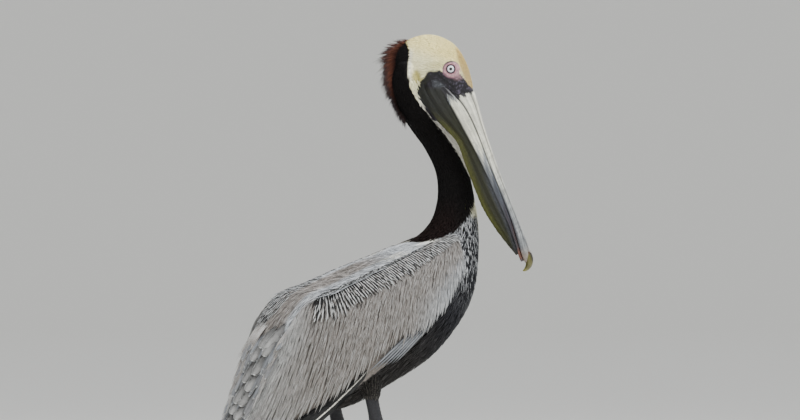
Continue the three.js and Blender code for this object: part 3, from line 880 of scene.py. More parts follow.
@dataclass(frozen=True)
class BareSkin:
    """Living bare skin: wrinkled, slightly oily and a little wet on the face and pouch, scaly on the feet.

    Attributes:
        scale_mm: size of the scales; pores and folds are drawn a little coarser than real ones, to show.
    """

    name: str = "bare_skin"
    scale_mm: float = 1.7

    def make(self) -> Material:
        """Builds the material from the skin's tone and how bare it is."""
        material, add, finish = new_material(self.name)
        tone = add("Attribute", attribute_name="tone")
        bare = add("Attribute", out="Fac", attribute_name="bare")
        place = add("TexCoord", out="Object")
        pores, folds = (add("TexNoise", {"Vector": place, "Scale": 1 / (size * MM), "Detail": detail})
                        for size, detail in ((1.1, 5), (3.5, 3)))
        cells = {"Vector": place, "Scale": 1 / (self.scale_mm * MM)}
        scales = add("TexVoronoi", cells, feature="DISTANCE_TO_EDGE")
        crack = add("MapRange", scales, 0.0, 0.12, 0.0, 1.0, **EASED)
        shade = add("MapRange", folds, *MID, 0.75, 1.2, **EASED)
        shade = add("Math", shade, add("MapRange", pores, *MID, 0.85, 1.12, **EASED), **TIMES)
        shade = add("Math", shade, add("Math", crack, 0.22, 0.8, **TIMES_ADD), **TIMES)
        rough = add("MapRange", bare, 0.0, 1.0, 0.8, 0.5, **EASED)
        damp = add("MapRange", pores, *MID, -0.06, 0.08, **EASED)
        relief = add("Math", crack, 0.35, add("Math", folds, 0.8, pores, **TIMES_ADD), **TIMES_ADD)
        finish({
            "Base Color": add("Mix", {0: 1.0, 6: tone, 7: shade}, **COLOURS),
            "Roughness": add("Math", rough, damp, operation="ADD"),
            "Normal": add("Bump", {"Strength": 0.55, "Distance": 0.0006, "Height": relief}),
            "Specular IOR Level": 0.32,
            "Subsurface Weight": 0.05,
            "Subsurface Radius": (0.002, 0.001, 0.0007),
            "Subsurface Scale": 1.0,
        })
        return material


@dataclass(frozen=True)
class Horn:
    """Keratin of bill and claws: hard, faintly waxy, with long growth streaks and small stains.

    Attributes:
        streak_mm: width of the streaks along the bill; real ones are half as wide and would not show.
        spots: how strongly small dark stains show.
    """

    name: str
    roughness: float = 0.38
    streak_mm: float = 2.6
    spots: float = 0.75

    def make(self) -> Material:
        """Builds the material from the piece's tone and its own map, u along and v round."""
        material, add, finish = new_material(self.name)
        place = add("TexCoord", out="Object")
        drawn = add("Mapping", {"Vector": add("UVMap", uv_map="along"), "Scale": (0.05, 1.0, 1.0)})
        streaks = add("TexNoise", {"Vector": drawn, "Scale": 1 / self.streak_mm, "Detail": 4.0})
        stain, broad = (add("TexNoise", {"Vector": place, "Scale": 1 / (size * MM), "Detail": detail})
                        for size, detail in ((1.8, 5), (14.0, 3)))
        light, wide = (add("MapRange", value, *MID, *to, **EASED)
                       for value, to in ((streaks, (0.62, 1.12)), (broad, (0.84, 1.08))))
        shade = add("Math", light, wide, operation="MULTIPLY")
        made = add("Mix", {0: 1.0, 6: add("Attribute", attribute_name="tone"), 7: shade}, **COLOURS)
        dark = add("MapRange", stain, 0.59, 0.7, 0.0, self.spots, **EASED)
        relief = add("Math", streaks, 1.4, stain, operation="MULTIPLY_ADD")
        finish({
            "Base Color": add("Mix", {0: dark, 6: made, 7: (0.05, 0.05, 0.055, 1)}, data_type="RGBA", out=2),
            "Roughness": add("MapRange", streaks, *MID, self.roughness - 0.06, self.roughness + 0.12, **EASED),
            "Normal": add("Bump", {"Strength": 0.35, "Distance": 0.0004, "Height": relief}),
            "Coat Weight": 0.12,
            "Coat Roughness": 0.25,
        })
        return material


# ---------------------------------------------------------------- where each colour lies
class Pigment:
    """Colours of the breeding plumage and the bare parts, as linear RGB."""

    crown: Array = colour("#FBEDA8")
    cheek: Array = colour("#F6F1C4")
    olive: Array = colour("#B5A850")
    tan: Array = colour("#BE9F62")
    white: Array = colour("#E6E4DA")
    ivory: Array = colour("#DDDBC0")
    nape: Array = colour("#0D0B0B")
    chestnut: Array = colour("#1C110F")
    crest: Array = colour("#6C4234")
    crest_tip: Array = colour("#3A3538")
    slate: Array = colour("#17181E")
    silver: Array = colour("#C9CBCB")
    blue_grey: Array = colour("#B4B9C0")
    drab: Array = colour("#87807A")
    ash: Array = colour("#757069")
    belly: Array = colour("#1E1C1B")
    black: Array = colour("#131415")
    face: Array = colour("#131018")
    pink: Array = colour("#CDA0A5")
    pouch: Array = colour("#1F200E")
    leg: Array = colour("#28282C")


P = Pigment


def from_back(angle: Array) -> Array:
    """Degrees round the body from the middle of the back, the same on both sides."""
    return np.degrees(np.arccos(np.clip(np.sin(angle), -1, 1)))


def neck_end(turn: Array) -> Array:
    """Station where the black of the neck ends, for degrees from the back."""
    return curve(turn, [(0, 7.1), (20, 7.15), (65, 7.75), (110, 8.8), (150, 9.4), (180, 9.5)])


def body_colours(t: Array, angle: Array) -> tuple[Array, Array, Array, Array]:
    """Colours of the body and neck.

    Args:
        t: station.
        angle: way round it.

    Returns:
        Colour along the shaft, colour at the edges, half width of the first, and the mean for the skin.
    """
    turn = from_back(angle)
    size = turn.shape
    line = [(10.2, 168), (10.6, 136), (11, 121), (12, 106), (13, 100), (14, 90), (15, 75), (16, 66)]
    stripe_from = curve(t, line)
    stripe = smooth(turn, stripe_from - 2, stripe_from + 2) * smooth(t, 10.2, 10.4)
    front = smooth(turn, stripe_from + 42, stripe_from + 50) * smooth(t, 14.2, 13.6)
    pale = glaze(P.white, size, (P.cheek, smooth(t, 13.4, 15.2)))
    dark_red = smooth(t, 10, 8) * smooth(turn, 100, 40) * 0.8
    neck = glaze(P.nape, size, (P.chestnut, dark_red), (pale, stripe), (P.nape, front))
    end = neck_end(turn)
    wedge = smooth(t, 8.65, 8.85) * smooth(turn, 108, 120) + smooth(t, 7.95, 8.2) * smooth(turn, 150, 160)
    wedge = np.clip(wedge, 0, 1)
    collar = smooth(turn, 52, 40) * smooth(t, end - 0.62, end - 0.5)
    mantle = mix(P.blue_grey, P.silver, 0.3)
    under = glaze(P.belly, size, (P.slate, smooth(t, 3.5, 5.5)))
    low = smooth(turn, 60, 85) * smooth(t, 6.7, 5.4)
    off_back = smooth(turn, 52, 66)
    on_neck = smooth(t, end - 0.06, end + 0.06)
    over = ((P.ivory, wedge), (P.white, collar), (neck, on_neck))
    rim = glaze(mantle * 0.5, size, (P.slate, off_back), (under, low), *over)
    core = glaze(mantle, size, (mix(P.silver, P.blue_grey, 0.4) * 0.95, off_back), (under * 2.0, low), *over)
    stripe_width = np.where(turn < 55, 0.6, 0.3 - 0.1 * low) * (1 - on_neck) + 0.5 * on_neck
    return core, rim, stripe_width, mix(rim, core, 0.4) * 0.7


def pouch_edge(up: Array) -> Array:
    """How far ahead, in the head's frame, the pouch begins in front of the neck's white stripe."""
    return curve(up, [(-150, 50), (-116, 31), (-99, 16), (-75, -4), (-55, -17.5), (-40, -20.5), (-30, -14)])


def head_colours(own: Array) -> Array:
    """Colour of the head's feathers: cream crown, pale cheek, olive patch, tan brow, white rim before the nape.

    Args:
        own: places in the head's frame.

    Returns:
        Linear RGB for each.
    """
    a, _, u = columns(own)
    brow = a - curve(u, [(-45, 65), (-36, 61), (-13, 52), (3, 47), (19, 43), (30, 38)])
    rim = curve(u, [(-60, -22), (-39, -31), (-21, -35), (6, -34), (19, -33), (30, -38), (38, -43)])
    return glaze(
        P.cheek, a.shape,
        (P.crown, smooth(u + 0.35 * a, -4, 24)),
        (P.olive, 0.8 * smooth(np.hypot((a + 22) / 9, (u + 26) / 15), 1.15, 0.5)),
        (P.olive, 0.35 * smooth(np.hypot((a - 12) / 22, (u + 6) / 8), 1.2, 0.3)),
        (P.tan, 0.75 * smooth(brow, -2.5, 3) * smooth(u, 30, 18)),
        (P.white, 0.55 * smooth(a - rim, 8, 3) * smooth(u, 26, 12)),
        (P.nape, smooth(rim - a, -0.5, 0.5)),
    )


def face_colours(own: Array) -> Array:
    """Colour of the bare face: nearly black, grey flecks and root, pink round the eye, painted shade in its
    hollows.

    Args:
        own: places in the head's frame.

    Returns:
        Linear RGB for each.
    """
    a, _, u = columns(own)
    ring = np.hypot((a - 37.5) / 15.5, (u + 13) / 13)
    pink = np.maximum(smooth(ring, 1.1, 0.82), 0.4 * smooth(np.hypot((a - 46) / 10, (u + 24) / 7), 1.25, 0.2))
    mottle = np.sin(a * 1.5 + 2.6 * np.sin(u * 0.8)) * np.sin(u * 1.7 + 2.6 * np.sin(a * 0.6))
    fleck = smooth(mottle + 0.5 * np.sin(a * 3.7 + u * 2.9) * np.sin(a * 2.3 - u * 4.1), 0.25, 0.95)
    # Mask of the painted shade along the crease, the fold that Skin.model sinks into the face.
    crease = hill(((u + 26.4) + 0.8 * (a - 20.9)) / 1.28, 2.3) * smooth(a, 2, 12) * smooth(a, 50, 38)
    root = np.hypot(((a - 16) * 0.78 - (u + 40) * 0.62) / 17, ((a - 16) * 0.62 + (u + 40) * 0.78) / 8.5)
    socket = HEAD.from_eye(own)
    return glaze(
        P.face, a.shape,
        ("#605A6C", fleck * (0.2 + 0.55 * smooth(a, 0, 36))),
        ("#6B7177", smooth(root, 1.1, 0.5) * (0.25 + 0.45 * fleck)),
        # painted shade in the crease
        (P.face * 0.35, crease * 0.85),
        (P.pink, pink * np.clip(0.75 + 0.3 * mottle, 0, 1)),
        ("#7E5566", 0.7 * hill(ring - 0.98, 0.09) * smooth(a + u, 34, 16)),
        ("#875666", 0.75 * smooth(socket, 10.2, 7.8)),
        # Painted shade deep in the socket round the eyeball.
        (P.face * 0.4, smooth(socket, 8.1, 7.3)),
    )


# ---------------------------------------------------------------- the skin
@dataclass
class Skin:
    """One skin over trunk, neck, head, pouch, arms and legs, sunk in the coat, bare on face and feet."""

    voxel_mm: float = 3.8
    name: str = "skin"

    def trunk(self) -> Array:
        """Rings of the trunk and neck, sunk by the depth of the coat."""
        t, angle = lattice(np.linspace(0.05, 15.9, 150), around(72))
        return BODY.surface(t, angle, -BODY.coat_depth(t))

    def skull(self) -> Array:
        """Rings of the head, sunk under feathers, flush on the bare face and narrow at the jaw's root."""
        t, angle = lattice(np.linspace(0.05, 6.95, 90), around(96))
        flush = HEAD.surface(t, angle)
        bare = HEAD.bare(HEAD.own(flush))
        distance, _, height = HEAD.bill_own(flush)
        gape = at_distance(BILL, distance)[..., 2]
        jaw = smooth(distance, -37, -33) * smooth(height - gape, 0.5, -1.5)
        return HEAD.surface(t, angle, -1.6 * (1 - bare) - 7.0 * jaw)

    def arm(self, wing: WingForm) -> Array:
        """Rings of a folded wing's flesh, under the coverts."""
        t, share = lattice(np.linspace(0.35, 8.3, 86), np.linspace(0.06, 0.955, 26))
        outer, inner = wing.surface(t, share, 0.0, -5.0), wing.surface(t, share, 1.0, 0.0)
        return np.concatenate([outer, inner[:, ::-1]], 1)

    def fan(self, form: FanForm, low: float, high: float) -> Array:
        """Rings of the flesh that carries a fan of feathers."""
        t, way = lattice(np.linspace(low, high, 30), np.linspace(-0.86, 0.86, 24))
        return np.concatenate([form.surface(t, way, 0.35), form.surface(t, way, 0.9)[:, ::-1]], 1)

    def pouch(self) -> Array:
        """Rings of the folded pouch: a rounded keel under the bill, closed against it."""
        distance = np.linspace(-65.8, 257.5, 170)[:, None]
        _, low, half = columns(at_distance(POUCH, distance))
        top = at_distance(BILL, distance)[..., 3] + 2
        angle, across = np.linspace(0, math.pi, 40), np.linspace(-0.9, 0.9, 14)
        lower = HEAD.bill(distance, half * np.cos(angle), top - (top - low) * np.sin(angle) ** 0.8)
        return np.concatenate([lower, HEAD.bill(distance, half * across, top + 1.5)], 1)

    def build(self) -> bpy.types.Object:
        """Joins the forms by a voxel remesh, smooths, refines the face and pouch, and models lids and folds.

        Returns:
            The skin, in place of every node of flesh.
        """
        shell = Shell().tube(self.trunk()).tube(self.skull()).tube(self.pouch())
        for wing in WINGS:
            shell.tube(self.arm(wing))
        shell.tube(self.fan(BACK, 0.5, 6.8)).tube(self.fan(TERTIALS, 0.1, 3.2)).tube(self.fan(TAIL, 0.0, 2.6))
        for leg in LEGS.values():
            shell.tube(leg.limb(leg.thigh_places(-3.0), 40, 32))
        rough = new_object("skin_rough", shell.mesh("skin_rough"))
        remesh = rough.modifiers.new("remesh", "REMESH")
        remesh.mode, remesh.voxel_size = "VOXEL", self.voxel_mm * MM
        relax = rough.modifiers.new("relax", "SMOOTH")
        relax.factor, relax.iterations = 0.5, 3
        mesh = bpy.data.meshes.new_from_object(rough.evaluated_get(bpy.context.evaluated_depsgraph_get()))
        bpy.data.objects.remove(rough)
        self.refine(mesh)
        set_places(mesh, self.model(places(mesh)))
        self.add_feet(mesh)
        mesh.polygons.foreach_set("use_smooth", np.ones(len(mesh.polygons), bool))
        self.paint(mesh)
        mesh.materials.append(BareSkin().make())
        nodes = [f"{part}_{side}" for part in ("thigh", "leg", "foot", "wing") for side in ("right", "left")]
        skin = new_object(self.name, mesh)
        return settle(skin, "neck_feathers", "head", "neck_upper", "neck_lower", "trunk", *nodes, "pouch")

    def refine(self, mesh: bpy.types.Mesh) -> None:
        """Subdivides the edges of the bare face and the pouch once, and those round the eyes twice more."""
        for reach in (17.0, 15.0, 11.5):
            points = places(mesh)
            own = HEAD.own(points)
            out = np.abs(own[:, 1])
            near = (HEAD.from_eye(own) < reach) & (out > 12)
            if reach == 17.0:
                distance, _, height = HEAD.bill_own(points)
                near |= (HEAD.bare(own) > 0.3) & (own[:, 0] > -30) & (distance < 30)
                near |= (np.abs(height + 32) < 32) & (distance > -70) & (distance < 262) & (out < 24)
            ends = np.empty(len(mesh.edges) * 2, np.int32)
            mesh.edges.foreach_get("vertices", ends)
            mesh.edges.foreach_set("select", near[ends].reshape(-1, 2).all(1))
            work = bmesh.new()
            work.from_mesh(mesh)
            chosen = [edge for edge in work.edges if edge.select]
            bmesh.ops.subdivide_edges(work, edges=chosen, cuts=1, use_grid_fill=True)
            work.to_mesh(mesh)
            work.free()
        mesh.update()

    def model(self, points: Array) -> Array:
        """Forms eye sockets, lids, the wrinkles of the face and the folds of the pouch from the skin's points.

        Round each eye the way out from the head's middle follows a profile of distance from the eye's centre:
        deep under the globe, up to a rounded lid, level with the face at 15 mm, with fine rings of wrinkles.

        Args:
            points: (n, 3) places.

        Returns:
            The places moved.
        """
        own = HEAD.own(points)
        a, l, u = own.T
        r = HEAD.from_eye(own)
        face = (np.abs(l) > 10) & (r < 17)
        lid = curve(r, [(0, 14), (5.9, 17), (6.3, 22), (6.75, 26.3), (7.3, 27.35), (8.2, 27.6), (9.2, 26.95),
                        (10.4, 27.1), (11.6, 26.8), (13, 26.6), (16, 26.2)])
        lid = lid + 0.16 * np.sin(r * TAU / 1.7) * smooth(r, 8, 9) * smooth(r, 15, 13)
        share = smooth(r, 15.5, 10.5) * face
        out = np.abs(l) * (1 - share) + lid * share
        crease = ((u + 26.4) + 0.80 * (a - 20.9)) / 1.28
        fold = hill(crease, 1.5) * smooth(a, 4, 16) * smooth(a, 46, 36) * (np.abs(l) > 12)
        out = out - 1.6 * fold * HEAD.bare(own)
        own = stack(a, np.sign(l) * out, u)
        moved = np.where((face | (fold > 0.01))[:, None], HEAD.world(own), points)
        distance, left, height = HEAD.bill_own(moved)
        on_pouch = smooth(distance, -66, -50) * smooth(distance, 262, 240)
        on_pouch = on_pouch * smooth(height, 2, -8) * (np.abs(left) < 26)
        low, ramus = at_distance(POUCH, distance)[:, 1], at_distance(BILL, distance)[:, 3]
        down = np.clip((ramus - height) / np.maximum(ramus - low, 4), 0, 1)
        wave = np.sin(TAU * (down * 3.1 + 0.0028 * distance + 0.08 * np.sin(distance / 31)))
        pleat = 0.75 * wave + 0.35 * np.sin(TAU * (down * 7.3 + 0.2 * np.sin(distance / 19)))
        main = -1.9 * hill(down - 0.62 + 0.0012 * (distance + 20), 0.06) * smooth(distance, 130, 40)
        depth = (pleat * np.sin(math.pi * down) ** 0.5 + main) * on_pouch * (down > 0)
        side = np.sign(left) * smooth(np.abs(left), 0.5, 5)
        to_left = HEAD.world(np.array([0.0, 1.0, 0.0])) - HEAD.world(np.zeros(3))
        return moved + to_left * (side * depth)[:, None]

    def add_feet(self, mesh: bpy.types.Mesh) -> None:
        """Adds the scaly shanks and the webbed feet as finer surfaces of the same skin."""
        shell = Shell()
        for leg in LEGS.values():
            leg.dress(shell)
        feet = shell.mesh("feet_surface")
        work = bmesh.new()
        work.from_mesh(mesh)
        work.from_mesh(feet)
        work.to_mesh(mesh)
        work.free()
        bpy.data.meshes.remove(feet)
        mesh.update()

    def under_coat(self, points: Array) -> Array:
        """Colour of the skin under the feathers of trunk, neck and wings: the coat's at the nearest station."""
        x, y, z = points.T
        stations = np.linspace(0, 16, 321)[::8]
        rows = along(BODY.stations, stations)
        near = ((x[:, None] - rows[:, 0]) ** 2 + (z[:, None] - rows[:, 2]) ** 2).argmin(1)
        row = rows[near]
        pitch = np.radians(row[:, 3])
        rise = -(x - row[:, 0]) * np.sin(pitch) + (z - row[:, 2]) * np.cos(pitch)
        made = body_colours(stations[near], np.arctan2(rise, y - row[:, 1]))[3]
        return mix(made, P.drab * 0.7, under_wing()(points) & (np.abs(y) > 50))

    def paint(self, mesh: bpy.types.Mesh) -> None:
        """Colours the skin by the same map as the coat, and marks how bare each place is."""
        points = places(mesh)
        own = HEAD.own(points)
        a, _, u = own.T
        x, y, z = points.T
        bare = HEAD.bare(own) * (a > -30) * (z > 560)
        distance, left, height = HEAD.bill_own(points)
        over = height - at_distance(BILL, distance)[:, 3]
        keel = height - at_distance(POUCH, distance)[:, 1]
        in_pouch = smooth(over, 4, 0) * (np.abs(left) < 26) * (distance > -70) * (distance < 266)
        in_pouch *= smooth(a - pouch_edge(u), -0.8, 0.8)
        pouch = glaze(
            P.pouch, a.shape,
            ("#1C1D19", smooth(distance, 40, -30)),
            ("#5C5E1A", 0.5 * smooth(keel, 14, 3) * smooth(distance, -20, 30) * smooth(distance, 250, 180)),
            ("#34363D", 0.7 * smooth(over, -8, -3) * smooth(distance, 90, 140) * smooth(distance, 262, 245)),
        )
        under_face = smooth(u, -38, -46) + smooth(pouch_edge(u) + 12, a - 6, a + 6)
        on_head = smooth(u, -52, -44) * smooth(np.linalg.norm(own - [5, 0, -5], axis=1), 80, 70)
        legs = smooth(z, 140, 132) * (np.abs(y) > 20) * (x > -70)
        made = mix(self.under_coat(points), head_colours(own), on_head)
        made = mix(mix(made, face_colours(own), bare), pouch, in_pouch * np.clip(under_face, 0, 1))
        paint(mesh, "tone", mix(made, P.leg, legs))
        mark(mesh, "bare", np.maximum.reduce([bare, in_pouch, legs]))


# ---------------------------------------------------------------- legs and feet
ANKLE_HEIGHT, MIDDLE_TOE, TOE_PAD = 84.0, 100.0, 0.93
# each toe's heading from the foot's, its length and its girth
TOES = {
    "outer": (-20.0, 0.95 * MIDDLE_TOE, 6.4),
    "middle": (4.0, MIDDLE_TOE, 6.8),
    "inner": (30.0, 0.76 * MIDDLE_TOE, 6.2),
    "hind": (84.0, 0.46 * MIDDLE_TOE, 5.2),
}
Toe = tuple[float, float, float]


@dataclass(frozen=True)
class LegForm:
    """Thigh, shank and foot; places are x, way out from the middle, and z. Toes turn towards the inner side."""

    side: int
    hip: tuple[float, float, float]
    sock: tuple[float, float, float]
    ankle: tuple[float, float, float]
    foot: tuple[float, float, float]
    turn: float

    def limb(self, stations: Array, rings: int, count: int, wave: float = 0.0) -> Array:
        """Rings of an upright limb.

        Args:
            stations: x, y, z and reach fore-and-aft and sideways.
            rings, count: number of rings, and of points in each.
            wave: how far the scutes stand out in front.

        Returns:
            (ring, way round, 3) places.
        """
        t, angle = lattice(np.linspace(0, len(stations) - 1, rings), around(count))
        x, y, z, fore, side = columns(along(stations, t))
        scute = wave * np.abs(np.sin(z / 1.9)) * smooth(np.cos(angle), 0.1, 0.8)
        return stack(x + (fore + scute) * np.cos(angle), y + (side + 0.3 * scute) * np.sin(angle), z)

    def mirrored(self, *parts: tuple[float, float, float]) -> list[Array]:
        """Places with the way out turned to y."""
        return [np.array(part) * [1, self.side, 1] for part in parts]

    def thigh_places(self, grow: float = 0.0) -> Array:
        """Stations of the feathered thigh."""
        hip, sock = self.mirrored(self.hip, self.sock)
        rows = ((hip, 24, 20), ((hip + sock) / 2, 22, 18), (sock, 14, 12))
        return np.array([[*place, fore + grow, side + grow] for place, fore, side in rows])

    def shank_places(self) -> Array:
        """Stations of the bare shank, from under the thigh's feathers down to the foot."""
        sock, ankle, foot = self.mirrored(self.sock, self.ankle, self.foot)
        rows = [(sock, ankle, -0.3, 11, 8.2), (sock, ankle, 0.1, 11.2, 8.2), (sock, ankle, 0.55, 11.2, 8.2),
                (sock, ankle, 1, 12.7, 9.7), (ankle, foot, 0.22, 10.2, 7.4), (ankle, foot, 0.6, 9.3, 6.6),
                (ankle, foot, 0.86, 10.2, 7.4), (ankle, foot, 1.05, 11, 8.4)]
        return np.array([[*(p + share * (q - p)), fore, side] for p, q, share, fore, side in rows])

    def toe_place(self, toe: Toe, share: Array) -> Array:
        """Places on the floor at shares of a toe's length from the foot's middle."""
        heading = math.radians(self.turn) - self.side * math.radians(toe[0])
        reach = np.asarray(share) * toe[1]
        x, y, _ = self.foot
        return stack(x + reach * math.cos(heading), self.side * y + reach * math.sin(heading), 0)

    def digit(self, middle: Array, side: Array, up: Array) -> Array:
        """Rings across a row of places, from the way to each side and the height above the floor."""
        way = unit(middle[-1] - middle[0])
        grid = middle[:, None] + np.array([-way[1], way[0], 0]) * side[..., None]
        grid[..., 2] = up
        return grid

    def toe(self, toe: Toe) -> Array:
        """Rings of a toe: a flat sole under a rounded, jointed back, with scutes across it."""
        share = np.linspace(-0.06, TOE_PAD, 46)
        swell = [(-0.06, 0.7), (0.0, 1), (0.33, 0.82), (0.66, 0.8), (0.85, 0.72), (TOE_PAD, 0.5)]
        girth = toe[2] * curve(share, swell)
        joint = 1 + 0.07 * np.cos(share * TAU * 3)
        height = 1.2 * girth * curve(share, [(-0.06, 1.5), (0.1, 1.5), (0.4, 1.0), (1, 0.95)]) * joint
        height = height + 0.22 * np.abs(np.sin(share * toe[1] / 1.5))
        c, s = np.cos(around(14)), np.sin(around(14))
        side = np.sign(c) * np.abs(c) ** 0.9
        proud = 0.02 + np.where(s > 0, s, 0) * height[:, None]
        return self.digit(self.toe_place(toe, share), side * girth[:, None], proud)

    def web(self, first: Toe, second: Toe) -> Array:
        """Rings of the web between two toes, from the foot's middle to a scalloped edge, thin and creased."""
        t, s = lattice(np.linspace(0.04, 1, 26), np.linspace(0, 1, 20))
        one, other = self.toe_place(first, TOE_PAD * t), self.toe_place(second, TOE_PAD * t)
        dip = 1 - 0.16 * np.sin(math.pi * s) * t
        centre = self.toe_place(first, np.zeros(1))
        flat = centre + ((one + (other - one) * s[..., None]) - centre) * dip[..., None]
        top, low = flat.copy(), flat.copy()
        top[..., 2] = 1.9 + 0.35 * np.sin(s * TAU * 4.5) * t + 1.2 * (1 - t) + 0.8 * np.abs(2 * s - 1) ** 3
        low[..., 2] = 0.25
        return np.concatenate([top, low[:, ::-1]], 1)

    def dress(self, shell: Shell) -> None:
        """Adds the shank, toes and webs."""
        shell.tube(self.limb(self.shank_places(), 96, 28, 0.55))
        toes = list(TOES.values())
        for toe in toes:
            shell.tube(self.toe(toe))
        for first, second in zip(toes, toes[1:]):
            shell.tube(self.web(first, second))

    def claw(self, toe: Toe) -> Array:
        """Rings of a claw, curved down from the toe's end to a blunt point on the floor."""
        share = np.linspace(0, 1, 24)
        girth = 3.2 * (1 - 0.85 * share**1.4)
        high = 5.0 - 3.9 * share**1.6
        low = 0.4 + 1.2 * np.sin(math.pi * share) ** 0.8 * (1 - share)
        c, s = np.cos(around(16)), np.sin(around(16))
        up = (high + low)[:, None] / 2 + s * (high - low)[:, None] / 2
        return self.digit(self.toe_place(toe, TOE_PAD - 0.012 + 0.105 * share), c * girth[:, None], up)


LEGS = {
    "right": LegForm(-1, (-8, 45, 178), (3, 47, 138), (15, 47, ANKLE_HEIGHT), (26, 50, 12), -8),
    "left": LegForm(1, (-34, 45, 172), (-23, 47, 132), (-11, 47, ANKLE_HEIGHT), (0, 50, 12), 8),
}


# ---------------------------------------------------------------- bill, nail, claws and eyes
def horn_piece(name: str, grid: Array, tone: Array, finish: Material) -> bpy.types.Object:
    """A closed tube of horn with a tone for each point of its grid and a map in millimetres.

    Args:
        name: the piece's name.
        grid: rings of points, (ring, round, 3).
        tone: linear RGB for each of them.
        finish: its material.

    Returns:
        The new object.
    """
    mesh = Shell().tube(grid).mesh(name)
    paint(mesh, "tone", np.concatenate([tone.reshape(-1, 3), tone[[0, -1]].mean(1)]))
    run = run_of(grid.mean(1))
    uv = stack(*lattice(run, run_of(grid[len(grid) // 2]))).reshape(-1, 2)
    set_uv(mesh, "along", np.concatenate([uv, [[0, 0], [run[-1], 0]]]), render=True)
    mesh.materials.append(finish)
    return new_object(name, mesh)


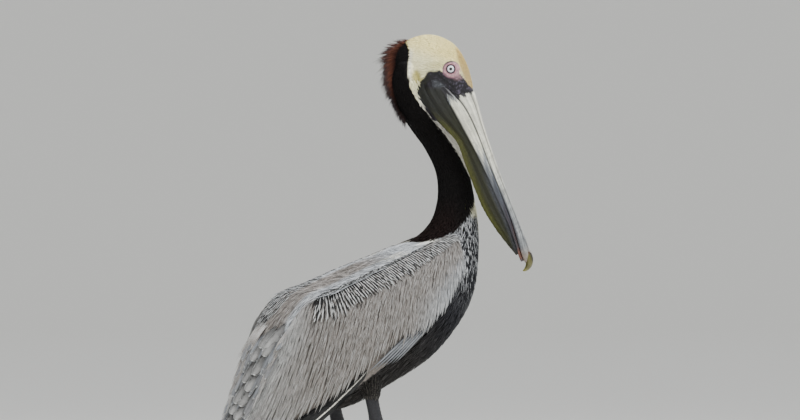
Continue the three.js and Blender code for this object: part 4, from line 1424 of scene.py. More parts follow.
@dataclass(frozen=True)
class Bill:
    """Upper bill with its ridge and nasal grooves, lower bill, and the hooked nail at the tip.

    Attributes:
        end: where the upper bill ends.
        upper_side, upper_rise: half of its section, edge to ridge, as shares of its half width and height.
        lower_side, lower_rise: half of the lower bill's section, from the gape round to the lower edge.
    """

    end: float = 274.0
    upper_side: Sequence[float] = (
        1, 1, 0.985, 0.93, 0.8, 0.66, 0.535, 0.475, 0.43, 0.36, 0.3, 0.2, 0.1, 0,
    )
    upper_rise: Sequence[float] = (
        0, 0.11, 0.22, 0.36, 0.53, 0.65, 0.735, 0.69, 0.745, 0.87, 0.925, 0.97, 0.993, 1,
    )
    lower_side: Sequence[float] = (0.0, 0.5, 0.88, 0.95, 1.0, 1.0, 0.985, 0.95, 0.86, 0.5, 0.0)
    lower_rise: Sequence[float] = (1, 1, 0.995, 0.93, 0.75, 0.5, 0.25, 0.1, 0.0, -0.02, -0.02)

    def section(self, side: Sequence[float], rise: Sequence[float], count: int) -> tuple[Array, Array]:
        """Half a section drawn as a smooth curve of so many points."""
        return columns(along(np.array([side, rise], float).T, np.linspace(0, len(side) - 1, count)))

    def upper(self) -> tuple[Array, Array]:
        """Rings and tones of the upper bill.

        The section runs up a steep edge, over a sloping side, down into a narrow groove beside the ridge and
        over the rounded ridge, the same on both sides, and back along a flat palate.
        """
        d = np.linspace(BILL[0, 0], self.end, 230)[:, None]
        _, culmen, gape, _, half, _ = columns(at_distance(BILL, d))
        edge, up = self.section(self.upper_side, self.upper_rise, 44)
        side = np.concatenate([edge, -edge[-2::-1], np.linspace(-0.9, 0.9, 9)])
        rise = np.concatenate([up, up[-2::-1], np.full(9, 0.03)])
        left = half * side * (1 - 0.25 * smooth(d, self.end - 14, self.end))
        wander = 9 * np.sin(rise * 11 + d / 9) + 6 * np.sin(rise * 26 - d / 4.3)
        speck = np.sin(d / 3.1 + 13 * rise + 2 * np.sin(d / 7))
        speck = speck * np.sin(d / 4.9 - 11 * rise + 3 * np.sin(d / 11))
        ridge = smooth(np.abs(side), 0.36, 0.2) * (rise > 0.5)
        low_side = smooth(rise, 0.5, 0.15) * (rise > 0.04)
        groove = hill(np.abs(side) - 0.475, 0.085) * (rise > 0.5)
        root = -15.5 + 3.4 * np.sin(rise * 17 + 0.4) + 1.6 * np.sin(rise * 41) - 5 * groove
        return HEAD.bill(d, left, gape + (culmen - gape) * rise), glaze(
            "#D2D1C2", left.shape,
            ("#979B9C", smooth(d + wander, 80, 190) * 0.9),
            ("#7A7E81", smooth(d + 2 * wander, 140, 250) * 0.6),
            ("#46484D", 0.65 * smooth(speck, 0.3, 0.8) * smooth(d, 20, 130)),
            ("#D0D0C6", 0.4 * ridge),
            ("#55575D", 0.7 * low_side * smooth(d + 2 * wander, 90, 160)),
            # Painted shade: the narrow groove beside the ridge darkened nearly black.
            ("#17171C", groove * smooth(d, 262, 236) * 0.95),
            ("#232228", smooth(rise, 0.19, 0.03) * 0.9),
            ("#7C6248", 0.5 * smooth(d, 245, 268) * (1 - ridge)),
            (P.face * 0.8, smooth(root - d, -0.8, 1.4)),
        )

    def lower(self) -> tuple[Array, Array]:
        """Rings and tones of the lower bill: a flat ramus each side, pale, then slate past the middle."""
        d = np.linspace(BILL[0, 0], self.end - 4, 200)[:, None]
        _, _, gape, ramus, _, half = columns(at_distance(BILL, d))
        low = np.minimum(ramus, gape - 2.4)
        edge, up = self.section(self.lower_side, self.lower_rise, 40)
        side, rise = np.concatenate([edge, -edge[-2:0:-1]]), np.concatenate([up, up[-2:0:-1]])
        left = half * side
        patchy = d + 12 * np.sin(rise * 8 + d / 6.5) + 8 * np.sin(rise * 21 - d / 3.1)
        root = -24 + 4 * np.sin(rise * 9 + 1) + 2 * np.sin(rise * 27)
        flecked = mix(P.face * 2, "#7C828A", 0.5 + 0.5 * np.sin(rise * 23 + d))
        return HEAD.bill(d, left, low + (gape - 0.35 - low) * rise), glaze(
            "#D3D2C1", left.shape,
            ("#7B7F82", smooth(patchy, 58, 105)),
            ("#42464F", smooth(patchy, 95, 145)),
            ("#2F2B35", smooth(patchy, 150, 200)),
            ("#4B3532", 0.6 * smooth(patchy, 195, 228) * smooth(rise, 0.2, 0.6)),
            ("#6C3822", smooth(d, 244, 258) * smooth(d, 269, 262)),
            ("#1E1D20", smooth(rise, 0.2, 0.02)),
            (flecked, smooth(root + 11 - d, -2, 5) * 0.85),
            (P.face, smooth(root - d, -1, 2)),
        )

    def nail(self) -> tuple[Array, Array]:
        """Rings and tones of the hooked nail: ovals with a ridge on top, olive-yellow with a dark patch."""
        t = np.linspace(0, len(NAIL) - 1.02, 70)[:, None]
        distance, height, radius = columns(along(NAIL, t))
        ahead, behind = along(NAIL, t + 0.05), along(NAIL, t - 0.05)
        slope = np.arctan2(ahead[..., 1] - behind[..., 1], ahead[..., 0] - behind[..., 0])
        angle = around(32)
        left, rise = oval(angle, radius * (1 + 0.07 * hill(angle - math.pi / 2, 0.35)), radius, 1.15 * radius)
        return HEAD.bill(distance - rise * np.sin(slope), left, height + rise * np.cos(slope)), glaze(
            "#55521F", left.shape,
            ("#5A3A26", smooth(t, 0.7, 0.1)),
            ("#1C181E", 0.9 * smooth(np.hypot(t - 0.7, 1.1 * np.cos(angle)), 1.15, 0.65)),
            ("#7E7B3A", smooth(t, 2.4, 3.6)),
        )

    def build(self) -> None:
        """Makes the three pieces and puts each in place of its node."""
        horn = Horn("bill_horn_keratin").make()
        nail = Horn("bill_nail_keratin", 0.3, 1.8, 0.25).make()
        for node, surface, finish, slot in (
            ("upper_bill", self.upper(), horn, "bill_horn"),
            ("lower_bill", self.lower(), horn, "bill_horn"),
            ("nail", self.nail(), nail, "bill_nail"),
        ):
            settle(horn_piece(node + "_horn", *surface, finish), slot, node)


def build_claws() -> None:
    """Makes the eight claws of dull dark horn, each in place of its node."""
    horn = Horn("claw_horn_keratin", 0.45, 0.8, 0.0).make()
    for side, leg in LEGS.items():
        for name, toe in TOES.items():
            grid = leg.claw(toe)
            piece = horn_piece(f"claw_horn_{side}_{name}", grid, glaze("#2A2624", grid.shape[:2]), horn)
            settle(piece, "claw_horn", f"claw_{side}_{name}")


@dataclass(frozen=True)
class Eye:
    """An eye: a globe with a pale iris and black pupil under a clear, wet coat.

    Attributes:
        side: -1 right, 1 left.
        radius, iris, pupil: their radii in millimetres.
        flat: how far the globe is flattened over the iris.
    """

    side: int
    radius: float = 8.5
    iris: float = 5.6
    pupil: float = 2.65
    flat: float = 0.9

    def globe(self) -> Array:
        """Rings of a ball round the outward axis, flattened by a smooth dip within the iris."""
        polar = np.linspace(0.004, math.pi - 0.004, 90)[:, None]
        turn = around(72)
        off = self.radius * np.sin(polar)
        dip = self.flat * np.cos(np.clip(off / self.iris, 0, 1) * math.pi / 2) ** 2 * (np.cos(polar) > 0)
        out = self.radius * np.cos(polar) - dip
        a, l, u = HEAD.eye
        return HEAD.world(stack(a + off * np.cos(turn), self.side * (l + out), u + off * np.sin(turn)))

    def finish(self) -> Material:
        """A moist eyeball: its colours lie under a clear, smooth film that gives it a sharp glint."""
        material, add, finish = new_material("eye_iris_and_globe")
        tone = add("Attribute", attribute_name="tone")
        finish({"Base Color": tone, "Roughness": 0.25, "Coat Weight": 1.0, "Coat Roughness": 0.03})
        return material

    def build(self) -> None:
        """Makes the globe as one piece: pale iris with fine fibres, dark rim and black pupil."""
        side = "right" if self.side < 0 else "left"
        name = "eyeball_" + side
        ball = Shell().tube(self.globe()).mesh(name)
        own = HEAD.own(places(ball))
        r = HEAD.from_eye(own)
        turn = np.arctan2(own[:, 2] - HEAD.eye[2], own[:, 0] - HEAD.eye[0])
        fibre = 0.5 + 0.5 * np.sin(turn * 36 + 3 * np.sin(turn * 5))
        front = np.abs(own[:, 1]) > HEAD.eye[1]
        paint(ball, "tone", glaze(
            "#DDE0E4", r.shape,
            ("#B9C0CC", 0.5 * fibre * smooth(r, 2.4, 4.0)),
            ("#8E8A92", smooth(r, self.iris - 0.9, self.iris - 0.1)),
            ("#38333A", smooth(r, self.iris - 0.15, self.iris + 0.25)),
            ("#040405", smooth(r, self.pupil + 0.12, self.pupil - 0.12) * front),
        ))
        ball.materials.append(self.finish())
        settle(new_object(name, ball), "eye", "eye_" + side)


# ---------------------------------------------------------------- the coat
def fan_ground(form: FanForm, below: float, u: Pair, v: Pair, out: int = -1) -> Ground:
    """A fan at a share of its depth as ground for feathers."""
    return Ground(lambda t, way: form.surface(t, np.clip(way, -1, 1), below), u, v, out)


@dataclass
class Coat:
    """All feathers, one joined piece for each tract, laid over the skin out to the bird's true outline."""

    rng: np.random.Generator = field(default_factory=lambda: np.random.default_rng(SEED))
    share: float = 1.0

    def plant(
        self, name: str, tract: Feathers | bpy.types.Mesh, finish: Material, slot: str, *nodes: str
    ) -> None:
        """Makes a tract's piece, with its finish."""
        mesh = tract.mesh(name) if isinstance(tract, Feathers) else tract
        mesh.materials.append(finish)
        settle(new_object(name, mesh), slot, *nodes)

    def vary(self, n: int, spread: float = 0.12) -> Array:
        """Factors about 1 with a small spread."""
        return 1 + spread * np.clip(self.rng.normal(size=n), -2, 2)

    def tint(self, colours: Array, spread: float = 0.1) -> Array:
        """The colours, each a little lighter or darker."""
        return np.clip(colours * self.vary(len(colours), spread)[:, None], 0, 1)

    def stray(self, way: Array, amount: Number) -> Array:
        """Ways as unit vectors, each turned a little by chance."""
        return unit(way + amount * self.rng.normal(size=way.shape))

    def head(self, finish: Material) -> None:
        """Short plush feathers of the head, lying back from the bill and finest round the face."""
        ground = Ground(HEAD.surface, (0.15, 6.8), (0, TAU))

        def density(point: Array, t: Array, angle: Array) -> Array:
            """None on bare skin or inside the neck."""
            own = HEAD.own(point)
            neck = [(-60, -30), (-34, -48), (-20, -58), (0, -60)]
            inside = (own[..., 2] < curve(own[..., 0], neck)) & (own[..., 0] < 0)
            return self.share * (HEAD.bare(own) < 0.5) * ~inside / (1.9 * 1.5)

        t, angle = ground.scatter(density, self.rng)
        n = len(t)
        place, du, _ = ground.steps(t, angle)
        fine = smooth(HEAD.own(place)[:, 0], 40, -10)
        length = (3.4 + 3.6 * fine) * self.vary(n)
        lie = self.stray(-unit(du), 0.06)
        colours = self.tint(head_colours(HEAD.own(place + 0.75 * length[:, None] * lie)), 0.03)
        tract = Feathers(
            ground, t, angle, lie, length, (0.75 + 0.35 * fine) * self.vary(n), 1.2,
            0.1 + 0.15 * self.rng.random(n), colours, colours * 0.96, 0.5, Shape.TUFT, 0.2, 0.12,
        )
        self.plant("feathers_head", tract, finish, "crown_feathers")

    def neck(self, finish: Material) -> None:
        """Velvety feathers of the neck, lying down towards the trunk."""
        ground = Ground(BODY.surface, (6.3, 15.9), (0, TAU))

        def density(point: Array, t: Array, angle: Array) -> Array:
            """None inside the head, under the pouch or on the body."""
            own = HEAD.own(point)
            a, l, u = columns(own)
            on = (t > neck_end(from_back(angle)) - 0.05) & (np.linalg.norm(own - [-5, 0, -8], axis=-1) >= 24)
            on &= ~((a > pouch_edge(u) - 1) & (np.abs(l) < 22) & (u > -150)) & ~((u > -28) & (a > -37))
            return self.share * on / (3.0 * 2.1)

        t, angle = ground.scatter(density, self.rng)
        n = len(t)
        core, rim, stripe, _ = body_colours(t, angle)
        length = curve(t, [(6.5, 17), (8, 13), (12, 10), (15, 8.5)]) * self.vary(n)
        lie = self.stray(-unit(ground.steps(t, angle)[1]), 0.12)
        tract = Feathers(
            ground, t, angle, lie, length, curve(t, [(6.5, 1.9), (12, 1.3), (15, 1.15)]) * self.vary(n),
            BODY.coat_depth(t) * 0.75, 0.2 + 0.5 * self.rng.random(n), self.tint(core, 0.12),
            self.tint(rim, 0.12), stripe, Shape.TUFT, 0.3, 0.3,
        )
        self.plant("feathers_neck", tract, finish, "neck_feathers")

    def body(self, finish: Material) -> None:
        """Lanceolate feathers of breast, belly and flanks, with dark ones strewn over the chest."""
        ground = Ground(BODY.surface, (0.35, 9.2), (0, TAU))
        covered = under_wing()
        sizes = [(0, 44), (2, 46), (4, 40), (5.5, 32), (7, 23), (9, 14)]

        def half_at(t: Array, length: Array) -> Array:
            """Half width of feathers of a length at a station."""
            return np.maximum(0.05 * length, curve(t, [(4.5, 1.6), (6, 2.3), (7.5, 2.1), (9.2, 1.2)]))

        def density(point: Array, t: Array, angle: Array) -> Array:
            """None on the neck, behind the wings, on the back or in the fan of the tail."""
            turn, length = from_back(angle), curve(t, sizes)
            on = (t < neck_end(turn) + 0.05) & ~covered(point)
            on &= ~((t < 6.25) & (turn < 52)) & ~((t < 2.6) & (turn < 60) & (point[..., 0] < -172))
            return self.share * on / (length * 0.19 * 1.45 * half_at(t, length))

        t, angle = ground.scatter(density, self.rng)
        n, turn = len(t), from_back(angle)
        core, rim, stripe, _ = body_colours(t, angle)
        length = curve(t, sizes) * self.vary(n)
        chest = smooth(t, 5.2, 6.2) * (turn > 56) * (t < neck_end(turn) - 0.3)
        dark = self.rng.random(n) < 0.35 + 0.3 * smooth(turn, 100, 135)
        dark &= (core[:, 0] < P.ivory[0] * 0.85) | (t < 8.4)
        core = mix(core, P.slate, chest * dark)
        lie = self.stray(-unit(ground.steps(t, angle)[1]), 0.07 + 0.05 * chest[:, None])
        tract = Feathers(
            ground, t, angle, lie, length, half_at(t, length) * self.vary(n),
            np.minimum(BODY.coat_depth(t), 0.18 * length), 0.3 + 0.9 * self.rng.random(n),
            self.tint(core, 0.14), self.tint(rim, 0.12), stripe * self.vary(n, 0.2), Shape.LANCE,
            bend=(0.05 + 0.06 * chest) * self.rng.normal(size=n),
        )
        self.plant("feathers_body", tract, finish, "belly_feathers")

    def mantle(self, finish: Material) -> None:
        """Mantle and scapulars from wing to wing: pale blue-grey outside, drab along the middle."""
        ground = fan_ground(BACK, 0.0, (0.0, 6.95), (-0.97, 0.97))
        sizes = [(0, 20), (2, 32), (4, 42), (7, 48)]

        def density(point: Array, t: Array, way: Array) -> Array:
            """None under the neck."""
            length = curve(t, sizes)
            return self.share * ((t > 1.0) | (np.abs(way) > 0.6)) / (length * 0.16 * 0.095 * length)

        t, way = ground.scatter(density, self.rng)
        n, off = len(t), np.abs(way)
        drab = mix(P.drab, P.silver, 0.25 * self.rng.random(n))
        tone = glaze(
            mix(P.blue_grey, P.silver, 0.35), (n,),
            (drab, smooth(off, 0.62, 0.38) * smooth(t, 1.4, 2.4)),
            (drab, smooth(off, 0.7, 0.8) * smooth(t, 4.2, 5.2)),
            (drab, smooth(way, 0.2, 0.4) * smooth(t, 4.6, 5.6)),
            (P.white, smooth(t, 0.8, 0.5)),
        )
        length = curve(t, sizes) * self.vary(n) * (1 - 0.45 * smooth(off, 0.75, 0.92) * smooth(t, 4, 5.5))
        aside = 0.12 * way + 0.3 * np.sign(way) * smooth(off, 0.7, 0.95) * smooth(t, 5, 4) * smooth(t, 1.8, 2.6)
        lie = stack(-1, aside, curve(t, [(0, -0.4), (5, -0.4), (6, -0.9), (7, -1.6)]))
        tract = Feathers(
            ground, t, way, self.stray(lie, 0.05), length, 0.065 * length * self.vary(n),
            np.minimum(4.0, 0.12 * length), 0.3 + 0.9 * self.rng.random(n), self.tint(tone, 0.1),
            self.tint(tone * 0.42, 0.2), 0.6 * self.vary(n, 0.2), Shape.LANCE, 0.35, 0.2,
        )
        self.plant("feathers_mantle", tract, finish, "wing_feathers")

    def mantle_strokes(self, finish: Material) -> None:
        """Rows of short feathers at the mantle's margins, black and white along the right, across the left."""
        ground = fan_ground(BACK, 0.0, (0.0, 6.95), (-0.97, 0.97))
        made = []
        for side, rows, count, first, last, broad in (
            (-1, 5, 84, 0.6, 5.0, [(0, 0.08), (3, 0.13), (4.5, 0.12), (5, 0.0)]),
            (1, 18, 32, 1.2, 6.4, [(0, 0.04), (3, 0.1), (3.8, 0.5), (4.6, 0.8), (5.6, 0.78), (6.4, 0.5)]),
        ):
            row, column = lattice(np.arange(rows), np.arange(count))
            at = column + 0.5 * (row % 2) + 0.25 * self.rng.normal(size=row.shape)
            t = first + (last - first) * at / count
            off = 0.97 - curve(t, broad) * (row + 0.12 * self.rng.normal(size=row.shape)) / rows
            dark = (column if side < 0 else row) % 2 == 0
            made.append(stack(np.clip(t, 0.3, 6.9), side * off, dark).reshape(-1, 3))
        t, way, dark = np.concatenate(made).T
        n, dark = len(t), dark > 0
        tone = np.where(dark[:, None], P.black, P.silver)
        tract = Feathers(
            ground, t, way, self.stray(stack(-1, np.where(way < 0, -0.75, -0.15), -0.5), 0.06),
            curve(t, [(1, 9), (6, 16)]) * self.vary(n),
            curve(t, [(1, 0.9), (6, 1.2)]) * np.where(dark, 1.4, 0.75), 0.2,
            np.where(way > 0, 1.6, 1.0) + 0.4 * dark + 0.6 * self.rng.random(n), self.tint(tone, 0.1),
            self.tint(tone * np.where(dark, 1.3, 0.8)[:, None], 0.1), 0.7, Shape.BLADE,
        )
        self.plant("stroke_coverts_top", tract, finish, "wing_feathers")

    def rear_coverts(self, finish: Material) -> None:
        """Pale coverts beside the long inner feathers."""
        ground = fan_ground(TERTIALS, -0.16, (0.0, 3.9), (-0.99, 0.99))

        def density(point: Array, t: Array, way: Array) -> Array:
            """Only at the sides and above the ends."""
            beside = (way > 0.34 + 0.1 * t) | (way < -0.74 - 0.04 * t)
            return self.share * beside * (t < 3.1) / (42 * 0.16 * 2.9)

        t, way = ground.scatter(density, self.rng)
        n = len(t)
        lie = stack(-1, 0.1 * np.sign(way), curve(t, [(0, -1.6), (4, -2.4)]))
        rim = glaze(P.drab, (n,), (P.silver * 0.8, smooth(t, 1.0, 3.5)))
        core = mix(P.silver, P.drab, 0.6 * self.rng.random(n))
        tract = Feathers(
            ground, t, way, self.stray(lie, 0.04), curve(t, [(2, 42), (3.1, 28)]) * self.vary(n),
            1.8 * self.vary(n), 2.4, 0.2 + 0.6 * self.rng.random(n), self.tint(core, 0.06),
            self.tint(rim, 0.06), 0.28 * self.vary(n, 0.3), Shape.LANCE, 0.3, 0.2,
        )
        self.plant("coverts_rear", tract, finish, "wing_feathers")

    def crest(self, finish: Material) -> None:
        """Loose, hair-like feathers in small clumps down the nape, chestnut with dark grey tips."""
        sunk, clumps = 5.0, 3.4

        def run_at(t: Array) -> Array:
            """The way the nape runs down, in the head's plane."""
            return unit((along(CREST, t + 0.1) - along(CREST, t - 0.1))[..., :2])

        def sheet(t: Array, across: Array) -> Array:
            """Place of a root under the nape's own feathers."""
            ahead, up, _, half = columns(along(CREST, t))
            run = run_at(t)
            return HEAD.world(stack(ahead - sunk * run[..., 1], half * across, up + sunk * run[..., 0]))

        ground = Ground(sheet, (0.15, 6.95), (-0.95, 0.95), 1)
        t, across = ground.scatter(lambda point, t, v: 0.8 * self.share + 0 * t, self.rng)
        n, grow, run = len(t), along(CREST, t)[:, 2], run_at(t)
        outward, down = stack(run[:, 1], 0, -run[:, 0]), stack(run[:, 0], 0, run[:, 1])
        lean = curve(t, [(0, 0.95), (2, 0.75), (4, 0.9), (7, 1.4)])[:, None]
        lean = lean * (0.75 + 0.4 * self.rng.random((n, 1)))
        way = self.stray(outward + lean * down + [0, 1, 0] * (0.35 * across[:, None]), 0.1)
        lie = HEAD.world(way) - HEAD.world(np.zeros(3))
        clump = np.round(t * clumps + 0.3 * np.sign(across))
        way = unit(way + 0.85 * ((clump / clumps - t) * 22 / (grow + 6))[:, None] * down)
        reach = (grow * (1 - 0.35 * np.abs(across)) + 6) / np.maximum(np.einsum("ij,ij->i", way, outward), 0.4)
        length = reach * np.clip(self.vary(n, 0.14), 0.6, 1.12) * (0.86 + 0.24 * np.sin(clump * 12.9) ** 2)
        share, wide = np.array([0, 0.3, 0.62, 0.85, 1.0]), 0.55 * np.array([0.5, 1.0, 0.75, 0.4])
        spot = sheet(t, across)[:, None] + lie[:, None] * (share * length[:, None])[..., None]
        spot = spot - [0, 0, 1] * (0.1 * length[:, None] * share**2)[..., None]
        side = unit(np.cross(lie, self.rng.normal(size=(n, 3))))
        s, u = (part[:, None] * wide[:, None] for part in (side, 0.5 * np.cross(lie, side)))
        middle = spot[:, :-1]
        ring = np.stack([middle - s, middle + u, middle + s, middle - u], 2).reshape(n, -1, 3)
        points = np.concatenate([ring, spot[:, -1:]], 1)
        base = self.tint(glaze(P.crest, (n,), (P.nape, smooth(t, 3.4, 5.6) * 0.9)), 0.18)
        tip = self.tint(np.tile(P.crest_tip, (n, 1)), 0.2)
        up = np.tile([*np.repeat(share[:-1], 4), 1], n)
        base, tip = (np.repeat(part, points.shape[1], 0) for part in (base, tip))
        tone = glaze(P.nape, up.shape, (base, smooth(up, 0.2, 0.5)), (tip, smooth(up, 0.62, 0.9)))
        root = stack(0.02 + 0.96 * t / 7, 0.5 + 0.48 * across)
        mesh = leaves("feathers_crest", points, share[:-1], root, tone, tone, np.full(n, 0.5))
        self.plant("feathers_crest", mesh, finish, "crest_feathers", "crest")

    def coverts(self, wing: WingForm, finish: Material) -> None:
        """Long silver and drab coverts over the whole wing, down and a little back."""
        ground = Ground(wing.surface, (0.0, 9.6), (0.0, 1.0), -wing.side)
        tips_to = [(0, 1.16), (2, 1.16), (2.5, 1.1), (2.9, 0.99), (3.4, 0.93), (4, 0.9), (4.5, 0.91), (5, 0.99),
                   (6, 0.94), (7, 0.98), (8, 1.04), (10, 1.08)]

        def length_at(t: Array, share: Array) -> Array:
            """Length of the feathers."""
            return curve(t, [(0, 18), (2, 34), (5, 44), (8, 50), (9, 34)]) * (0.55 + 0.75 * share)

        def density(point: Array, t: Array, share: Array) -> Array:
            """None so low that its tip would pass the wing's lower edge."""
            length, row = length_at(t, share), along(wing.stations, t)
            down = length / np.linalg.norm(row[..., 3:6] - row[..., 0:3], axis=-1)
            on = (share + 0.85 * down < curve(t, tips_to)) * (t < 9.2)
            return self.share * on / (length * 0.16 * 0.064 * length)

        t, share = ground.scatter(density, self.rng)
        n = len(t)
        back = curve(t, [(0, 0.25), (1.5, 0.3), (4, 0.36), (6, 0.34), (8, 0.42), (10, 0.5)])
        lie = self.stray(stack(-back, 0, -1), 0.025)
        length = length_at(t, share) * self.vary(n)
        drab = mix(P.drab, P.ash, self.rng.random(n) * 0.6)
        front = smooth(share, 0.4, 0.75) * smooth(t, 3.0, 1.7) + smooth(t, 0.9, 0.2)
        rear = 0.45 * smooth(t, 5.6, 8) + 0.4 * smooth(t, 6, 6.8) * smooth(share, 0.3, 0.1)
        rim = mix(drab, P.blue_grey, np.clip(front, 0, 1))
        rim = mix(rim, P.silver * 0.9, np.clip(0.5 * smooth(share, 0.6, 0.95) + rear, 0, 0.9))
        core = mix(P.silver * 0.92, P.drab, 0.2 + 0.55 * self.rng.random(n) * smooth(share, 0.9, 0.5))
        tract = Feathers(
            ground, t, share, lie, length, length * 0.044 * self.vary(n), np.minimum(2.6, 0.07 * length),
            0.2 + 0.5 * self.rng.random(n), self.tint(core * 0.8, 0.05), self.tint(rim * 0.8, 0.06),
            np.clip(0.24 * self.vary(n, 0.35), 0.08, 0.6), Shape.LANCE, 0.3, 0.2,
            0.02 * self.rng.normal(size=n),
        )
        self.plant("coverts_" + wing.name, tract, finish, "wing_feathers")

    def strokes(self, wing: WingForm, finish: Material) -> None:
        """Rows of short narrow coverts along the wing's top, black and white by turns.

        They lean ahead over most of the wing and back past its sixth station, so that they fan out there.
        """
        band = [(0, 0), (0.3, 0.12), (1, 0.2), (3, 0.2), (4, 0.17), (4.75, 0.16), (5.5, 0.2), (6, 0.14),
                (6.35, 0)]
        leans = [(0, 0.1), (1, -0.5), (4, -0.75), (5.0, -0.4), (5.6, 0.1), (6.2, 0.9)]
        stations, step, rows = np.linspace(0.05, 7.5, 600), 2.1, 5
        run = run_of(wing.surface(stations, np.zeros(600)))
        base = np.arange(0, run[-1], step)
        made = []
        for row in range(rows):
            above = np.interp(base, run, stations)
            depth = np.clip((row + 0.3 * self.rng.normal(size=len(base))) / rows, 0, 1) * curve(above, band)
            at = base + 150 * depth * curve(above, leans) + 0.2 * self.rng.normal(size=len(base))
            kept = above < 5.95
            made.append(stack(np.interp(at, run, stations), depth, np.arange(len(base)) % 2 == 0)[kept])
        t, share, dark = np.concatenate(made).T
        n, dark = len(t), dark > 0
        fade = smooth(share / np.maximum(curve(t, band), 0.02), 0.5, 1.1)
        lean = curve(t, leans)
        lie = self.stray(stack(-lean, 0, -1), 0.045)
        length = curve(t, [(0, 10), (2, 13), (4.5, 15), (6, 19)]) * self.vary(n, 0.18)
        core, rim, faded = (
            np.where(dark[:, None], black, white)
            for black, white in ((P.black, P.silver), (P.black * 1.3, P.silver * 0.8), (P.drab * 0.6, P.silver))
        )
        core = mix(core, faded, 0.7 * fade * self.rng.random(n))
        tract = Feathers(
            Ground(wing.surface, (0.0, 9.6), (0.0, 1.0), -wing.side), t, share, lie, length,
            curve(t, [(0, 0.75), (3, 0.95), (7, 1.15)]) * np.where(dark, 1.3, 0.85) * self.vary(n), 0.3,
            1.3 + 0.7 * self.rng.random(n), self.tint(core, 0.08), self.tint(rim, 0.08), 0.7, Shape.BLADE,
            bend=-0.12 * wing.side * np.sign(lean) + 0.03 * self.rng.normal(size=n),
        )
        self.plant("stroke_coverts_" + wing.name, tract, finish, "wing_feathers")

    def long(self, name: str, ground: Ground, rows: Sequence[tuple], finish: Material, slot: str,
             nodes: Sequence[str] = (), shape: Shape = Shape.QUILL, loose: float = 0.0) -> None:
        """Long feathers given one by one.

        Args:
            name, ground, finish, slot, nodes, shape: of the piece.
            rows: for each one its root's two places, angle to the ground's run, length, half width, depth,
                two colours, stripe and roll.
            loose: how far the tips may lift.
        """
        u, v, slant, length, half, sunk, core, rim, stripe, roll = (np.array(part) for part in zip(*rows))
        _, du, dv = ground.steps(u, v)
        lie = unit(unit(du) + unit(dv) * np.tan(np.radians(slant))[:, None])
        proud = 0.3 + loose * self.rng.random(len(rows)) + 8 * roll if loose else 0.2
        tract = Feathers(ground, u, v, lie, length, half, sunk, proud, core, rim, stripe, shape, 0.5,
                         0.16 if loose else 0.14, 0.0, roll)
        self.plant(name, tract, finish, slot, *nodes)

    def flight(self, wing: WingForm, finish: Material) -> None:
        """Folded flight feathers: blue-grey secondaries, black primaries with one pale shaft."""
        ground = Ground(wing.surface, (0.0, 9.95), (-0.05, 1.06), -wing.side)
        grey, dark = P.blue_grey * 0.75, P.blue_grey * 0.42
        secondaries = [
            (2.2 + 0.2 * k, 0.985 - 0.028 * k, 1.2 + 0.3 * k, 118 - 4 * k, 3.6, 2.6 - 0.35 * k,
             grey * (0.46 + 0.1 * (k % 2)), dark * 0.35, 0.42, 0.0)
            for k in range(6)
        ]
        self.long("secondaries_" + wing.name, ground, secondaries, finish, "flight_feathers", (), Shape.LANCE)
        primaries = [
            (4.6 + 0.30 * k, 0.86 + 0.012 * k, 13 - 0.8 * k, 190 - 8 * k, 9.5 - 0.3 * k, 2.4 + 0.45 * k,
             P.black * 1.6 if k else P.white, P.black, 0.08 if k else 0.1, 0.0)
            for k in range(8)
        ]
        node = "primaries_" + wing.name
        self.long("primaries_feathers_" + wing.name, ground, primaries, finish, "flight_feathers", (node,))

    def inner(self, finish: Material) -> None:
        """Long inner feathers over the rump, silver with pale rounded ends, and broad ones rolled over them."""
        rng, rows = self.rng, []
        layers = [(0.0, 11, 56, 8.5), (0.35, 10, 62, 9), (0.75, 10, 66, 9), (1.2, 9, 70, 9), (1.7, 9, 74, 9),
                  (2.3, 8, 78, 8.5)]
        for layer, (t, count, length, half) in enumerate(layers):
            for k in range(count):
                way = -0.95 + 1.9 * (k + 0.5 * (layer % 2) + 0.25 * rng.normal()) / count
                grey = mix(P.blue_grey, P.drab, 0.5 * rng.random()) * (0.3 + 0.3 * rng.random())
                rows.append((t + 0.2 * rng.random(), np.clip(way, -0.97, 0.97), 4 * rng.normal(),
                             length * (1 + 0.1 * rng.normal()), half, 3.5 + 3.0 * rng.random(), grey,
                             P.silver * 0.7, 0.82, 0.0))
        for k in range(12):
            grey = mix(P.silver, P.drab, 0.4) * (0.5 + 0.25 * rng.random())
            rows.append((0.05 + 0.26 * k + 0.05 * rng.normal(),
                         -0.62 + 0.42 * (k % 2) + 0.02 * k + 0.04 * rng.normal(), 5 * rng.normal(),
                         44 + 5 * rng.normal(), 10.5, 0.5 + 0.5 * rng.random(), grey, P.silver, 0.86, 0.6))
        ground = fan_ground(TERTIALS, 0.0, (0, 3.98), (-0.98, 0.98))
        self.long("tertial_feathers", ground, rows, finish, "wing_feathers", ("tertials",), loose=1.8)

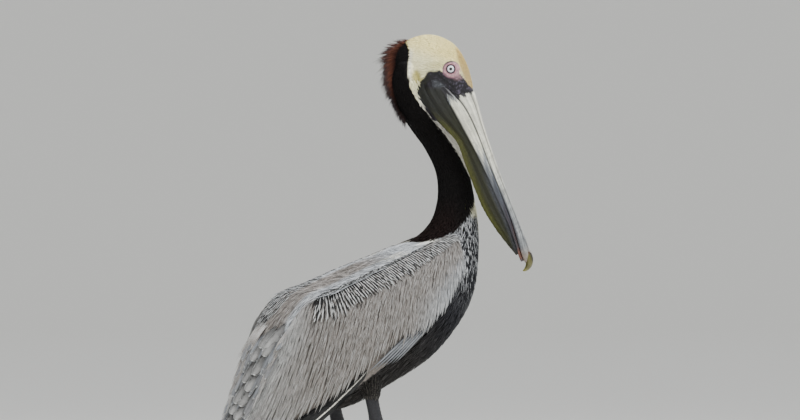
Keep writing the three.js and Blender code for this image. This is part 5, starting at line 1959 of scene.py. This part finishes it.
    def tail(self, finish: Material) -> None:
        """The tail's 22 feathers and the coverts under it."""
        rng = self.rng
        span, edges, last = (0, 3.98), (-0.98, 0.98), 21
        tail = [
            (1.1 + 0.1 * rng.random(), -0.9 + 1.8 * k / last, -3 + 6 * k / last,
             118 - 12 * abs(k - 10.5) / 10.5, 8.5, 2.0 + 1.2 * (1 - abs(k - 10.5) / 10.5),
             P.blue_grey * 0.35, P.blue_grey * 0.62, 0.5, 0.0)
            for k in range(22)
        ]
        upper = fan_ground(TAIL, 0.25, span, edges)
        self.long("tail_feathers", upper, tail, finish, "flight_feathers", ("tail",), loose=1.8)
        lower = [
            (0.2 + 0.9 * rng.random(), -0.85 + 1.7 * k / 33, 2 * rng.normal(), 55 + 20 * rng.random(), 7.5, 2.5,
             P.belly * 1.2, P.blue_grey * 0.45, 0.55, 0.0)
            for k in range(34)
        ]
        under = fan_ground(TAIL, 0.9, span, edges, 1)
        self.long("under_tail_feathers", under, lower, finish, "flight_feathers", loose=1.8)

    def thighs(self, finish: Material) -> None:
        """Pale-edged feathers of the thighs."""
        for name, leg in LEGS.items():

            def surface(t: Array, angle: Array, stations: Array = leg.thigh_places()) -> Array:
                """Place on the thigh."""
                x, y, z, fore, side = columns(along(stations, t))
                return stack(x + fore * np.cos(angle), y + side * np.sin(angle), z)

            ground = Ground(surface, (0.0, 1.98), (0, TAU))
            t, angle = ground.scatter(lambda point, t, a: self.share / (4.4 * 2.6) + 0 * t, self.rng)
            n = len(t)
            rim, core = self.tint(np.tile(P.ash * 0.45, (n, 1)), 0.2), self.tint(np.tile(P.belly, (n, 1)), 0.2)
            tract = Feathers(
                ground, t, angle, self.stray(stack(0 * t, 0, -1), 0.1),
                curve(t, [(0, 20), (2, 12)]) * self.vary(n), curve(t, [(0, 3), (2, 1.8)]) * self.vary(n), 2.4,
                0.2 + 0.8 * self.rng.random(n), core, rim, 0.6, Shape.BLADE,
            )
            self.plant("feathers_thigh_" + name, tract, finish, "belly_feathers")

    def build(self) -> None:
        """Grows every tract."""
        # root_shade, the fifth value of each, is painted shade at the feathers' roots; the rounded ones carry it
        # from root to tip, a painted shadow of the one above.
        plush = Plumage("short_plush_feathers", 0.8, 0.0, 8, 0.3, 0.97, 0.12, 0.12, 0.04).make()
        vanes = Plumage("vaned_feathers").make()
        silver = Plumage("silver_coverts", root_shade=0.86, grain=0.08).make()
        quills = Plumage("flight_feathers_barbed", 0.5, 0.02, 90, 0.06, 0.42).make()
        rounded = Plumage("rounded_inner_feathers", 0.55, 0.02, 60, 0.08, 0.16, tip=1.0, shaded=1.0).make()
        self.head(plush)
        self.neck(plush)
        self.crest(plush)
        self.body(vanes)
        for wing in WINGS:
            self.flight(wing, quills)
            self.coverts(wing, silver)
            self.strokes(wing, silver)
        self.inner(rounded)
        self.tail(quills)
        for grow in (self.mantle, self.mantle_strokes, self.rear_coverts, self.thighs):
            grow(vanes)


# ---------------------------------------------------------------- floor, light and camera
@dataclass(frozen=True)
class Studio:
    """A plain pale floor, soft light from above and the sides, and a far camera.

    Attributes:
        distance: of the camera from the bird, in metres.
        azimuth: where the camera stands, in degrees from -Y towards +X.
        across_mm: width of the view at the bird.
        middle_mm: place in the bird's frame that is in the view's middle.
        sensor: width of the camera's sensor in millimetres.
        run, level, rim: the floor's length from its middle, how much of it is level, and the curve's radius.
        lamps: name, azimuth, elevation, metres away, size and watts of each.
    """

    distance: float = 20.0
    azimuth: float = -25.0
    across_mm: float = 1304.0
    middle_mm: tuple[float, float, float] = (63.5, -29.6, 438.5)
    sensor: float = 36.0
    run: float = 42.0
    level: float = 24.0
    rim: float = 8.0
    lamps: tuple = (
        ("key", 20, 58, 2.6, 1.5, 92),
        ("fill", -95, 30, 3.0, 2.2, 24),
        ("back", 150, 40, 3.0, 2.2, 22),
        ("top", -20, 86, 2.6, 2.4, 38),
    )

    def floor(self) -> None:
        """A level round sheet of matt paper that curves up far out, beyond where any view stands.

        Its radius grows as the square of the ring's number; past the level part the height is that of a circle.
        """
        rings, count = 90, 96
        ring, turn = lattice(np.linspace(0.02, 1, rings), around(count))
        run = self.run * ring**2
        bend = np.clip((run - self.level) / self.rim, 0, math.pi / 2)
        reach = np.minimum(run, self.level) + self.rim * np.sin(bend)
        past = np.clip(run - self.level - self.rim * math.pi / 2, 0, None)
        up = self.rim * (1 - np.cos(bend)) + past - 0.0002
        points = stack(reach * np.cos(turn), reach * np.sin(turn), up).reshape(-1, 3)
        points = np.concatenate([points, [[0, 0, -0.0002]]])
        r, c = lattice(np.arange(rings - 1), np.arange(count))
        k, n = r * count + c, r * count + (c + 1) % count
        quads = stack(k, k + count, n + count, n).reshape(-1, 4)
        hub = stack(len(points) - 1, np.arange(count), (np.arange(count) + 1) % count)
        corners, sides = np.concatenate([quads.ravel(), hub.ravel()]), np.repeat([4, 3], [len(quads), count])
        mesh = mesh_from("floor", (points - SHIFT) / MM, corners, sides)
        mesh.materials.append(self.paper())
        new_object("floor", mesh)

    def paper(self) -> Material:
        """Matt pale paper: fine fibres only just lighten and darken it, and it has no gloss."""
        material, add, finish = new_material("matt_pale_paper")
        place = add("TexCoord", out="Object")
        fibres = add("TexNoise", {"Vector": place, "Scale": 1 / (0.8 * MM), "Detail": 3})
        shade = add("MapRange", fibres, *MID, 0.97, 1.03, **EASED)
        finish({
            "Base Color": add("Mix", {0: 1.0, 6: (*colour("#EFEEEA"), 1), 7: shade}, **COLOURS),
            "Roughness": 0.9,
        })
        return material

    def lamp(self, name: str, azimuth: float, elevation: float, away: float, size: float, watts: float) -> None:
        """A square soft light that looks at the bird."""
        data = bpy.data.lights.new(name, "AREA")
        data.shape, data.size, data.energy = "SQUARE", size, watts
        lamp = new_object(name, data)
        a, e = math.radians(azimuth), math.radians(elevation)
        way = np.array([math.sin(a) * math.cos(e), -math.cos(a) * math.cos(e), math.sin(e)])
        lamp.location = way * away + np.array([0, 0, 0.35])
        lamp.rotation_euler = (math.pi / 2 - e, 0, a)

    def build(self) -> None:
        """Makes the floor, lights, sky and camera."""
        self.floor()
        for lamp in self.lamps:
            self.lamp(*lamp)
        world = bpy.data.worlds.new("soft_room")
        bpy.context.scene.world = world
        world.use_nodes = True
        sky = world.node_tree.nodes["Background"]
        connect(world.node_tree, sky, {"Color": (0.96, 0.98, 1.0, 1), "Strength": 0.82})
        data = bpy.data.cameras.new("camera")
        data.sensor_width = self.sensor
        data.lens = self.sensor * self.distance / (self.across_mm * MM)
        data.clip_end = 60
        camera = new_object("camera", data)
        a = math.radians(self.azimuth)
        target = np.array(self.middle_mm) * MM + SHIFT
        camera.location = target + self.distance * np.array([math.sin(a), -math.cos(a), 0])
        camera.rotation_euler = (math.pi / 2, 0, a)
        bpy.context.scene.camera = camera


def main() -> None:
    """Builds the stage, the skin, the bare parts and the coat, in that order."""
    logging.basicConfig(level=logging.INFO, format="%(name)s %(message)s")
    Studio().build()
    Skin().build()
    Bill().build()
    for side in (-1, 1):
        Eye(side).build()
    build_claws()
    Coat().build()


if __name__ == "__main__":
    main()
    bpy.context.view_layer.update()
